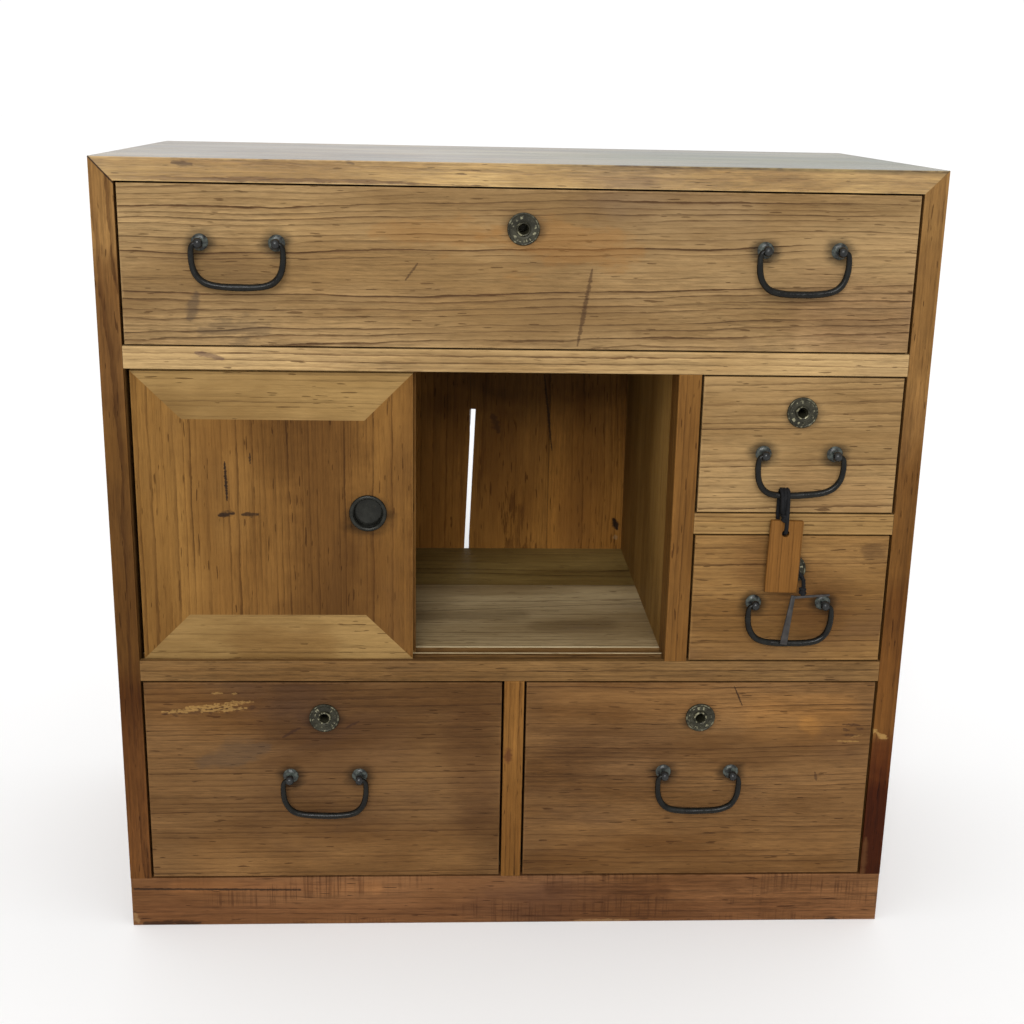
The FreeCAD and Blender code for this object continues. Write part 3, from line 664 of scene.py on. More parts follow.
@dataclass(frozen=True)
class WoodFinish:
    """The material of one board."""

    tone: WoodTone
    cut: Cut
    seed: float
    pith: tuple[float, float, float] = (0.20, -0.09, 0.01)
    marks: tuple[Mark, ...] = ()
    plank: tuple[float, float] = ONE_PLANK
    arris: float = 0.0016
    chatter: float = 0.0

    def material(self, name: str, low: Vector, high: Vector) -> bpy.types.Material:
        """Makes the material for a board that fills a box.

        Args:
            name: The material's name.
            low: The box's lowest corner.
            high: Its highest corner.

        Returns:
            The material.
        """
        material, graph, shader = new_material(name)
        tone = self.tone
        place = graph.place()
        wood = self.figure(graph, place, (low + high) / 2)
        worn = ARRIS.use(graph, Place=place, Low=low, High=high, Width=self.arris, Seed=self.seed)["Mask"]
        colour = graph.mix(graph.times(worn, tone.worn_share), wood["Colour"], tone.shade(RUBBED_EDGE))
        height = wood["Height"]
        if self.chatter:
            colour, height = self.saw(graph, place, colour, height)
        # Dust and a painted sheen, a pale grey film on faces that look upwards
        if tone.dust_and_sheen:
            colour = self.dust(graph, place, colour)
        colour, height = self.draw_marks(graph, place, colour, height, Vector((0, low.y, high.z)))
        graph.feed(shader.inputs["Base Color"], colour)
        graph.feed(shader.inputs["Roughness"], graph.plus(wood["Dull"], tone.rough - DULL_MEAN))
        graph.lift(shader, height, tone.relief)
        shader.inputs["Coat Weight"].default_value = tone.coat
        shader.inputs["Coat Roughness"].default_value = COAT_ROUGHNESS
        shader.inputs["Specular IOR Level"].default_value = tone.shine
        return material

    def figure(self, graph: Graph, place: Socket, middle: Vector) -> bpy.types.NodeOutputs:
        """Places the wood's figure on the board's own axes.

        Args:
            graph: The material's graph.
            place: The place on the board.
            middle: The board's middle.

        Returns:
            The figure's outputs.
        """
        tone = self.tone
        axes = dict(zip("XYZ", graph.axes(place)))
        turned = {n: axes[letter] for n, letter in enumerate(self.cut.value)}
        board = graph.put("ShaderNodeCombineXYZ", turned).outputs[0]
        centre = [middle["XYZ".index(letter)] for letter in self.cut.value]
        pith = (centre[1] + self.pith[0], centre[2] + self.pith[1], self.pith[2])
        return WOOD.use(
            graph, Place=board, Seed=self.seed, Pith=pith, Pitch=tone.pitch, Wander=tone.wander,
            Light=tone.shade(EARLY_WOOD, tone.blotch), Dark=tone.shade(DARK_CLOUD, tone.blotch),
            Line=tone.shade(LATE_WOOD), Stain=tone.shade(SOILED, tone.blotch),
            Stain_Level=tone.stain_level, Grit=tone.grit, Lines=tone.lines, Plank_Width=self.plank[0],
            Plank_Start=self.plank[1],
        )

    def saw(self, graph: Graph, place: Socket, colour: Socket, height: Socket) -> tuple[Socket, Socket]:
        """Leaves upright saw marks in patches.

        Args:
            graph: The material's graph.
            place: The place on the board.
            colour: The colour so far.
            height: The height so far.

        Returns:
            The colour and the height with the saw marks.
        """
        kerf = graph.noise(graph.stretch(place, (480.0, 1.0, 16.0)), self.seed + 7.0, rough=0.6)
        where = graph.noise(graph.stretch(place, (10.0, 1.0, 45.0)), self.seed + 8.0)
        kerf = graph.times(graph.step(kerf, 0.48, 0.66), graph.step(where, 0.44, 0.62))
        colour = graph.mix(graph.times(kerf, self.chatter), colour, self.tone.shade(SAWN))
        return colour, graph.times_plus(kerf, -0.5, height)

    # Paints a sheen as well as dust: a pale grey film on faces that look upwards
    def dust(self, graph: Graph, place: Socket, colour: Socket) -> Socket:
        """Lays a film of dust and a painted sheen on what faces upwards.

        Args:
            graph: The material's graph.
            place: The place on the board.
            colour: The colour so far.

        Returns:
            The colour under the dust and painted sheen.
        """
        facing = graph.axes(graph.put("ShaderNodeNewGeometry").outputs["Normal"])[2]
        uneven = graph.noise(place, self.seed, scale=9.0, detail=5.0)
        uneven = graph.step(uneven, 0.25, 0.75, 0.7, 1.0)
        dust_and_sheen = graph.times(graph.step(facing, 0.5, 0.9, 0.0, self.tone.dust_and_sheen), uneven)
        return graph.mix(dust_and_sheen, colour, DUST_AND_SHEEN)

    def draw_marks(
        self, graph: Graph, place: Socket, colour: Socket, height: Socket, corner: Vector
    ) -> tuple[Socket, Socket]:
        """Draws the board's marks in order.

        Args:
            graph: The material's graph.
            place: The place on the board.
            colour: The colour so far.
            height: The height so far.
            corner: The depth of the front face and the level of the upper one.

        Returns:
            The colour and the height with the marks.
        """
        x, y, z = graph.axes(place)
        plan = graph.put("ShaderNodeCombineXYZ", {0: x, 1: graph.times(z, -1.0), 2: y}).outputs[0]
        for mark in self.marks:
            start, end = ((across * MM, 0, up * MM) for across, up in (mark.start, mark.end))
            mask = STROKE.use(
                graph, Place=plan if mark.above else place, Start=start, End=end, Width=mark.width * MM,
                Ragged=mark.ragged, Face=-corner.z if mark.above else corner.y, Taper=mark.taper,
                Soft=mark.soft,
            )["Mask"]
            share = graph.times(mask, mark.strength)
            colour = graph.mix(share, colour, mark.tone, mark.blend.value)
            if mark.sink:
                height = graph.times_plus(mask, -mark.sink, height)
        return colour, height


@dataclass(frozen=True)
class MetalFinish:
    """The material of worked metal, with brighter high places where a level is given: rubbed metal, and on the
    posts' rosettes a painted highlight too.
    """

    name: str
    base: Colour
    bloom: Colour
    rust: Colour
    metallic: float
    rough: float
    grain: float = 420.0
    relief: float = 0.00030
    shine: float = 0.30
    rubbed_and_highlight: Colour | None = None
    rubbed_and_highlight_from: float = 0.0
    rubbed_and_highlight_to: float = 0.0
    rubbed_and_highlight_share: tuple[float, float] = (0.36, 0.66)
    rubbed_and_highlight_waves: float = 330.0

    def material(self) -> bpy.types.Material:
        """Makes the material.

        Returns:
            The material.
        """
        material, graph, shader = new_material(self.name)
        place = graph.place()
        skin = SCALE.use(
            graph, Place=place, Base=self.base, Bloom=self.bloom, Rust=self.rust, Grain=self.grain
        )
        colour = skin["Colour"]
        # Brighter colour on a band of depth: rubbed metal, and on the posts' rosettes a painted highlight
        if self.rubbed_and_highlight:
            high = graph.step(graph.axes(place)[1], self.rubbed_and_highlight_from, self.rubbed_and_highlight_to)
            patch = graph.noise(place, 2.0, scale=self.rubbed_and_highlight_waves, detail=3.0)
            patch = graph.step(patch, *self.rubbed_and_highlight_share)
            colour = graph.mix(graph.times(high, patch), colour, self.rubbed_and_highlight)
        graph.feed(shader.inputs["Base Color"], colour)
        graph.feed(shader.inputs["Roughness"], graph.plus(skin["Dull"], self.rough))
        shader.inputs["Metallic"].default_value = self.metallic
        shader.inputs["Specular IOR Level"].default_value = self.shine
        graph.lift(shader, skin["Height"], self.relief)
        return material


@dataclass(frozen=True)
class CordFinish:
    """The material of a dull twisted cord."""

    dark: Colour = (0.004, 0.004, 0.0045)
    pale: Colour = (0.012, 0.012, 0.013)
    fuzz_waves: float = 1500.0
    wear_waves: float = 260.0
    rough: tuple[float, float] = (0.3, 0.65)
    relief: float = 0.0004
    shine: float = 0.2

    def material(self) -> bpy.types.Material:
        """Makes the material.

        Returns:
            The material.
        """
        material, graph, shader = new_material("cord_black")
        place = graph.place()
        fuzz = graph.noise(place, 1.0, scale=self.fuzz_waves, detail=3.0, rough=0.7)
        wear = graph.step(graph.noise(place, 4.0, scale=self.wear_waves, detail=3.0), 0.40, 0.75)
        worn = graph.times(wear, graph.step(fuzz, 0.35, 0.7))
        graph.feed(shader.inputs["Base Color"], graph.mix(worn, self.dark, self.pale))
        graph.feed(shader.inputs["Roughness"], graph.times_plus(fuzz, *self.rough))
        graph.lift(shader, fuzz, self.relief)
        shader.inputs["Specular IOR Level"].default_value = self.shine
        return material


FRONT_TONE = WoodTone((0.240, 0.149, 0.063), -0.02, wander=0.021, grit=1.05, lines=1.55, blotch=0.95)
SMALL_TONE = WoodTone((0.205, 0.125, 0.050), 0.0, wander=0.019, grit=0.95, lines=1.1)
LOW_SMALL_TONE = WoodTone((0.168, 0.089, 0.028), 0.03, grit=1.0, lines=1.1, blotch=1.1)
LOW_TONE = WoodTone((0.114, 0.0565, 0.0192), 0.03, wander=0.020, grit=1.05, lines=0.9, blotch=1.35)
RAIL_TONE = WoodTone((0.277, 0.178, 0.076), -0.04, grit=1.05, lines=1.4)
SMALL_RAIL_TONE = WoodTone((0.207, 0.119, 0.041), -0.04, grit=1.1)
LOW_RAIL_TONE = WoodTone((0.128, 0.068, 0.0227), 0.03, grit=1.2, lines=0.9, blotch=1.1)
EDGE_TONE = WoodTone((0.138, 0.067, 0.0190), 0.02, worn_share=0.25)
# The top board's upward faces carry dust and a painted sheen
TOP_TONE = WoodTone(
    (0.296, 0.185, 0.066), 0.03, grit=1.2, lines=1.7, blotch=1.3, rough=0.40, coat=0.38, shine=0.2,
    dust_and_sheen=0.46, worn_share=0.5,
)
BASE_TONE = WoodTone((0.118, 0.0525, 0.0194), 0.02, grit=1.3, lines=0.9, blotch=1.2, worn_share=0.4)
DOOR_TONE = WoodTone((0.126, 0.057, 0.0125), 0.0, pitch=0.0058, wander=0.012, grit=0.7, lines=0.95)
CLAMP_TONE = WoodTone((0.226, 0.135, 0.046), -0.06, grit=0.7, lines=0.65)
POST_TONE = WoodTone((0.136, 0.060, 0.0130), 0.0, grit=0.9, lines=0.9)
FLOOR_TONE = WoodTone((0.306, 0.222, 0.112), 0.0, grit=0.8, lines=0.8, worn_share=0.1)
BACK_TONE = WoodTone((0.210, 0.092, 0.0175), 0.03, grit=0.9, lines=0.8, worn_share=0.1)
SCREEN_TONE = WoodTone((0.212, 0.115, 0.0300), 0.03, grit=0.8, lines=0.7, worn_share=0.1)
BOX_TONE = WoodTone((0.34, 0.225, 0.105), -0.06, grit=0.6, lines=0.6, blotch=0.7)
TAG_TONE = WoodTone((0.142, 0.060, 0.0125), -0.2, pitch=0.0022, wander=0.003, grit=0.6, lines=0.7, blotch=0.5)
DUST_TONE = WoodTone((0.030, 0.020, 0.012), 0.0, lines=0.2, blotch=0.6)
# Pale tone of the track slips, partly a painted highlight along the ridges
SLIP_AND_HIGHLIGHT_TONE = WoodTone((0.46, 0.37, 0.22), -0.1, grit=0.7, lines=0.3, blotch=0.5)


# Modelling
WELD_REACH = 0.00001
CLEAN_CUT = 0.000001
DRILL_SIDES = 32
DRILL_LENGTH = 0.02


class Bench:
    """Modelling steps on one piece at a time, made with Blender's own operators."""

    @staticmethod
    def clear() -> None:
        """Deselects everything."""
        bpy.ops.object.select_all(action="DESELECT")

    @staticmethod
    def hold(piece: bpy.types.Object) -> None:
        """Selects one piece alone and makes it active.

        Args:
            piece: The piece.
        """
        Bench.clear()
        piece.select_set(True)
        bpy.context.view_layer.objects.active = piece

    @staticmethod
    def named(name: str) -> bpy.types.Object:
        """Names the primitive that was just added, and puts its place into its mesh.

        Args:
            name: The piece's name.

        Returns:
            The piece.
        """
        piece = bpy.context.object
        piece.name = piece.data.name = name
        bpy.ops.object.transform_apply(location=True, rotation=True, scale=True)
        return piece

    @staticmethod
    @contextmanager
    def editing(piece: bpy.types.Object) -> Iterator[None]:
        """Edit mode on one piece, all of it selected at the start.

        Args:
            piece: The piece.
        """
        Bench.hold(piece)
        bpy.ops.object.mode_set(mode="EDIT")
        bpy.ops.mesh.select_mode(type="VERT")
        bpy.ops.mesh.select_all(action="SELECT")
        yield
        bpy.ops.object.mode_set(mode="OBJECT")

    @staticmethod
    def pick_faces(piece: bpy.types.Object, test: Callable[[Vector, Vector], bool]) -> None:
        """Selects faces in edit mode by their middle and normal.

        Args:
            piece: The piece in edit mode.
            test: Says of a middle and a normal whether the face is wanted.
        """
        bpy.ops.mesh.select_mode(type="FACE")
        bpy.ops.mesh.select_all(action="DESELECT")
        mesh = bmesh.from_edit_mesh(piece.data)
        for face in mesh.faces:
            face.select_set(test(face.calc_center_median(), face.normal))
        bmesh.update_edit_mesh(piece.data)

    @staticmethod
    def cube(name: str, low: Vector, high: Vector) -> bpy.types.Object:
        """Adds a block between two corners.

        Args:
            name: Its name.
            low: The lowest corner.
            high: The highest corner.

        Returns:
            The block, to be shaped further.
        """
        Bench.clear()
        bpy.ops.mesh.primitive_cube_add(size=1.0, location=(low + high) / 2, scale=high - low)
        return Bench.named(name)

    @staticmethod
    def turned(name: str, profile: Sequence[tuple[float, float]], sides: int) -> bpy.types.Object:
        """Turns a profile round the Y axis, as on a lathe: a ring is extruded and resized at each point.

        Args:
            name: The piece's name.
            profile: Radius and depth of each point, in millimetres, depth towards the back.
            sides: Faces round the piece.

        Returns:
            The piece, at the origin: closed at both ends, or a ring where the profile ends where it starts.
        """
        Bench.clear()
        radius, depth = profile[0]
        ring = profile[0] == profile[-1]
        bpy.ops.mesh.primitive_circle_add(
            vertices=sides, radius=radius * MM, location=(0, depth * MM, 0), rotation=(math.pi / 2, 0, 0),
            fill_type="NOTHING" if ring else "NGON",
        )
        piece = Bench.named(name)
        with Bench.editing(piece):
            for (was, old), (now, new) in zip(profile, profile[1:]):
                bpy.ops.mesh.extrude_region_move(TRANSFORM_OT_translate={"value": (0, (new - old) * MM, 0)})
                grow = now / was
                bpy.ops.transform.resize(value=(grow, 1, grow), center_override=(0, new * MM, 0))
            bpy.ops.mesh.select_all(action="SELECT")
            bpy.ops.mesh.remove_doubles(threshold=WELD_REACH)
            bpy.ops.mesh.normals_make_consistent(inside=False)
        return piece

    @staticmethod
    def drawn(
        name: str, path: Sequence[tuple[float, float]], radii: Sequence[float], sides: int = 14
    ) -> bpy.types.Object:
        """Draws a round bar along a path in the XZ plane: a ring is extruded, turned and resized.

        Args:
            name: The piece's name.
            path: The stations' x and z, in millimetres.
            radii: The bar's radius at each, in millimetres.
            sides: Faces round the bar.

        Returns:
            The bar, closed at both ends, at the origin.
        """
        spots = [Vector((x, 0, z)) * MM for x, z in path]
        heads: list[float] = []
        for a, b in zip(spots, spots[1:]):
            head = math.atan2(a.z - b.z, b.x - a.x)
            last = heads[-1] if heads else head
            heads.append(head + math.tau * round((last - head) / math.tau))
        leans = [heads[0], *((a + b) / 2 for a, b in zip(heads, heads[1:])), heads[-1]]
        Bench.clear()
        bpy.ops.mesh.primitive_circle_add(
            vertices=sides, radius=radii[0] * MM, location=spots[0], rotation=(0, math.pi / 2 + leans[0], 0),
            fill_type="NGON",
        )
        piece = Bench.named(name)
        with Bench.editing(piece):
            for n in range(1, len(spots)):
                bpy.ops.mesh.extrude_region_move(TRANSFORM_OT_translate={"value": spots[n] - spots[n - 1]})
                Bench.lean(leans[n - 1] - leans[n], spots[n])
                grow = radii[n] / radii[n - 1]
                bpy.ops.transform.resize(value=(grow,) * 3, center_override=spots[n])
            bpy.ops.mesh.select_all(action="SELECT")
            bpy.ops.mesh.normals_make_consistent(inside=False)
        return piece

    @staticmethod
    def lean(turn: float, centre: Vector) -> None:
        """Turns what is selected in edit mode about an axis along Y."""
        bpy.ops.transform.rotate(value=turn, orient_axis="Y", orient_type="GLOBAL", center_override=centre)

    @staticmethod
    def modify(piece: bpy.types.Object, kind: str, **settings: object) -> None:
        """Adds one modifier and applies it.

        Args:
            piece: The piece.
            kind: The modifier's type.
            settings: Its settings.
        """
        Bench.hold(piece)
        bpy.ops.object.modifier_add(type=kind)
        modifier = piece.modifiers[-1]
        for name, value in settings.items():
            setattr(modifier, name, value)
        bpy.ops.object.modifier_apply(modifier=modifier.name)

    @staticmethod
    def bevel(piece: bpy.types.Object, width: float, segments: int = 2) -> None:
        """Rounds a piece's edges, by a width in millimetres."""
        Bench.modify(piece, "BEVEL", width=width * MM, segments=segments)

    @staticmethod
    def copy(piece: bpy.types.Object, name: str, place: Vector) -> bpy.types.Object:
        """Copies a piece with a mesh of its own, moved by a vector.

        Args:
            piece: The piece, at the origin.
            name: The copy's name.
            place: How far it moves.

        Returns:
            The copy.
        """
        Bench.hold(piece)
        bpy.ops.object.duplicate(linked=False)
        twin = bpy.context.object
        twin.location = place
        return Bench.named(name)

    @staticmethod
    def join(name: str, pieces: Sequence[bpy.types.Object]) -> bpy.types.Object:
        """Joins pieces into one object.

        Args:
            name: The name of the whole.
            pieces: The pieces.

        Returns:
            The joined piece.
        """
        Bench.hold(pieces[0])
        for piece in pieces[1:]:
            piece.select_set(True)
        bpy.ops.object.join()
        return Bench.named(name)

    @staticmethod
    def bore(piece: bpy.types.Object, place: Vector, radius: float, along: str) -> None:
        """Bores a round hole through a piece.

        Args:
            piece: The piece.
            place: The hole's middle.
            radius: Its radius.
            along: The axis that it runs along, X or Y.
        """
        turn = (0, math.pi / 2, 0) if along == "X" else (math.pi / 2, 0, 0)
        Bench.clear()
        bpy.ops.mesh.primitive_cylinder_add(
            vertices=DRILL_SIDES, radius=radius, depth=DRILL_LENGTH, location=place, rotation=turn
        )
        drill = Bench.named("drill")
        Bench.modify(piece, "BOOLEAN", object=drill, operation="DIFFERENCE")
        Bench.drop(drill)

    @staticmethod
    def cut_out(piece: bpy.types.Object, low: Vector, high: Vector) -> None:
        """Cuts a square pocket out of a piece.

        Args:
            piece: The piece.
            low: The pocket's lowest corner.
            high: Its highest corner.
        """
        chisel = Bench.cube("chisel", low, high)
        Bench.modify(piece, "BOOLEAN", object=chisel, operation="DIFFERENCE")
        Bench.drop(chisel)

    @staticmethod
    def drop(piece: bpy.types.Object) -> None:
        """Removes a pattern piece that was only copied from."""
        bpy.data.objects.remove(piece)

    @staticmethod
    def smooth(piece: bpy.types.Object, degrees: float) -> None:
        """Shades a piece smooth across its shallow edges."""
        Bench.hold(piece)
        bpy.ops.object.shade_smooth_by_angle(angle=math.radians(degrees))

    @staticmethod
    def uneven(piece: bpy.types.Object, strength: float, size: float) -> None:
        """Makes a piece's surface slightly uneven.

        Args:
            piece: The piece.
            strength: How far its points move at most, in millimetres.
            size: The width of the dents, in millimetres.
        """
        texture = bpy.data.textures.new(f"{piece.name}_dents", "CLOUDS")
        texture.noise_scale = size * MM
        texture.noise_depth = 2
        Bench.modify(
            piece, "DISPLACE", texture=texture, texture_coords="GLOBAL", strength=strength * MM, mid_level=0.5
        )


def finish(
    piece: bpy.types.Object, body: str, material: bpy.types.Material, nodes: Sequence[str] = ()
) -> bpy.types.Object:
    """Dresses a new piece and puts it on its body.

    Args:
        piece: The piece, in its place.
        body: The body that carries it.
        material: Its material.
        nodes: The CAD nodes that it stands for.

    Returns:
        The piece.
    """
    piece.data.materials.clear()
    piece.data.materials.append(material)
    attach(piece, body)
    if nodes:
        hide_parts(*nodes)
    LOG.info("%s on %s: %d faces", piece.name, body, len(piece.data.polygons))
    return piece


def dress(node: str, material: bpy.types.Material) -> None:
    """Gives a CAD node a better material in its slots.

    Args:
        node: The node's name.
        material: The material.
    """
    mesh = frame["nodes"][node].data
    mesh.materials.clear()
    mesh.materials.append(material)


def opening_middle(name: str) -> Vector:
    """Finds the middle of an opening of the record.

    Args:
        name: The opening's name.

    Returns:
        Its middle.
    """
    for opening in frame["record"]["physics"]["openings"]:
        if opening["name"] == name:
            low, high = (Vector(corner) for corner in opening["box_m"])
            return (low + high) / 2
    raise KeyError(name)


def pivot(joint: str) -> Vector:
    """Finds a hinge's place in the record."""
    return next(Vector(j["pos_m"]) for j in frame["joints"] if j["name"] == joint)


DRAWERS = {
    "top_drawer": "top_drawer", "upper_small": "upper_small_drawer", "lower_small": "lower_small_drawer",
    "bottom_left": "bottom_left_drawer", "bottom_right": "bottom_right_drawer",
}
POST_HALF_SPACING = 30.25 * MM


def post_places(drawer: str) -> list[Vector]:
    """Finds where a drawer's handle posts hold their pins.

    Args:
        drawer: The drawer's name.

    Returns:
        Two places for each of its bails.
    """
    bails = ("top_left", "top_right") if drawer == "top_drawer" else (drawer,)
    aside = Vector((POST_HALF_SPACING, 0, 0))
    return [pivot(f"{bail}_handle_swing") + aside * side for bail in bails for side in (-1, 1)]


# Studio
@dataclass
class Studio:
    """A pale floor, soft light and the camera."""

    lens: float = 50.978
    eye: tuple[float, float, float] = (-0.06487, -1.33300, 0.73133)
    tilt: tuple[float, float, float] = (73.8128, -1.1110, -2.6227)
    sensor: float = 36.0
    floor_size: float = 60.0
    paper: tuple[Colour, Colour] = ((0.89, 0.89, 0.89), (0.91, 0.91, 0.91))
    paper_rough: float = 0.9
    horizon: float = 1.02
    flank: float = 0.60
    flank_span: tuple[float, float] = (0.12, 0.34)
    overhead: float = 0.50
    overhead_span: tuple[float, float] = (0.50, 0.95)
    sun_way: tuple[float, float, float] = (0.10, 0.87, -0.48)
    sun_power: float = 2.2
    sun_spread: float = 30.0

    def build(self) -> None:
        """Sets the floor, the lights and the camera up."""
        self.floor()
        self.lights()
        self.camera()

    def floor(self) -> None:
        """Lays a wide pale floor under the chest."""
        Bench.clear()
        bpy.ops.mesh.primitive_plane_add(size=self.floor_size, location=(0, 0, 0))
        floor = Bench.named("floor")
        material, graph, shader = new_material("floor_paper")
        tone = graph.mix(graph.noise(graph.place(), 1.0, scale=3.0), *self.paper)
        graph.feed(shader.inputs["Base Color"], tone)
        shader.inputs["Roughness"].default_value = self.paper_rough
        floor.data.materials.append(material)

    def lights(self) -> None:
        """Sets a white surround, dimmest above the horizon, and one wide soft light from the front."""
        world = bpy.data.worlds.new("surround")
        bpy.context.scene.world = world
        world.use_nodes = True
        graph = Graph(world.node_tree)
        back = world.node_tree.nodes["Background"]
        rise = graph.axes(graph.put("ShaderNodeTexCoord").outputs["Generated"])[2]
        power = graph.plus(
            graph.step(rise, *self.flank_span, self.horizon, self.flank),
            graph.step(rise, *self.overhead_span, 0.0, self.overhead),
        )
        graph.feed(back.inputs["Color"], (1.0, 1.0, 1.0))
        graph.feed(back.inputs["Strength"], power)
        turn = Vector(self.sun_way).to_track_quat("-Z", "Y").to_euler()
        bpy.ops.object.light_add(type="SUN", rotation=turn)
        sun = bpy.context.object.data
        sun.energy = self.sun_power
        sun.angle = math.radians(self.sun_spread)
        bpy.context.scene.view_settings.view_transform = "Standard"

    def camera(self) -> None:
        """Stands the camera where the photograph was taken from."""
        bpy.ops.object.camera_add(location=self.eye, rotation=[math.radians(a) for a in self.tilt])
        camera = bpy.context.object
        camera.data.lens = self.lens
        camera.data.sensor_width = self.sensor
        bpy.context.scene.camera = camera


# Woodwork
@dataclass
class Woodwork:
    """Every board of the case, the doors and the drawers, each with its own figure and marks."""

    slips: tuple[tuple[float, float], ...] = ((18.6, 20.4), (32.8, 35.6))
    slip_rise: float = 0.25
    slip_bevel: float = 0.08
    slip_seed: float = 17.0
    seams: tuple[float, ...] = (-286.0, -202.0, -118.0, -34.0, 50.0, 134.0, 218.0)
    open_seam: float = -34.0
    slit_top: float = 409.0
    dust: tuple[float, float] = (0.17, 2.5)
    dust_bevel: float = 0.06
    dust_seed: float = 19.0

    def build(self) -> None:
        """Dresses the boards, and adds the slips and the dust."""
        finishes = board_finishes()
        for node, finish_of in finishes.items():
            dress(node, finish_of.material(f"{node}_wood", *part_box(node)))
        LOG.info("%d boards dressed", len(finishes))
        self.lay_tracks()
        self.fill_seams()

    def fill_seams(self) -> None:
        """Packs old dust into the seams of the back, down to the slit at the open one."""
        low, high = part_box("back_boards")
        half, sink = (v * MM for v in self.dust)
        strips = []
        for n, x in enumerate(self.seams):
            foot = self.slit_top * MM if x == self.open_seam else low.z + sink
            strip = Bench.cube(
                f"seam_dust_{n}", Vector((x * MM - half, low.y + sink, foot)),
                Vector((x * MM + half, high.y - sink, high.z - sink)),
            )
            Bench.bevel(strip, self.dust_bevel)
            strips.append(strip)
        piece = Bench.join("seam_dust", strips)
        finish_of = WoodFinish(DUST_TONE, Cut.UPRIGHT_FRONT, self.dust_seed)
        finish(piece, "case", finish_of.material("seam_dust_packed", low, high))

    def lay_tracks(self) -> None:
        """Lays a thin pale slip on the ridge between the door tracks and on the lip behind them, a pale tone that
        also paints the highlight along the ridges.
        """
        low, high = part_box("lower_rail")
        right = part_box("divider_post")[0].x
        slips = []
        for n, (near, far) in enumerate(self.slips):
            slip = Bench.cube(
                f"track_slip_{n}", Vector((low.x, low.y + near * MM, high.z)),
                Vector((right, low.y + far * MM, high.z + self.slip_rise * MM)),
            )
            Bench.bevel(slip, self.slip_bevel)
            slips.append(slip)
        piece = Bench.join("track_slips", slips)
        finish_of = WoodFinish(SLIP_AND_HIGHLIGHT_TONE, Cut.LEVEL_TOP, self.slip_seed)
        finish(piece, "case", finish_of.material("track_slip_highlight_wood", low, high))


INK: Colour = (0.012, 0.007, 0.005)
UMBER: Colour = (0.034, 0.015, 0.008)
SMEAR: Colour = (0.062, 0.041, 0.026)
OCHRE: Colour = (0.255, 0.112, 0.026)
BARE: Colour = (0.250, 0.150, 0.066)
GOLD: Colour = (0.270, 0.155, 0.048)

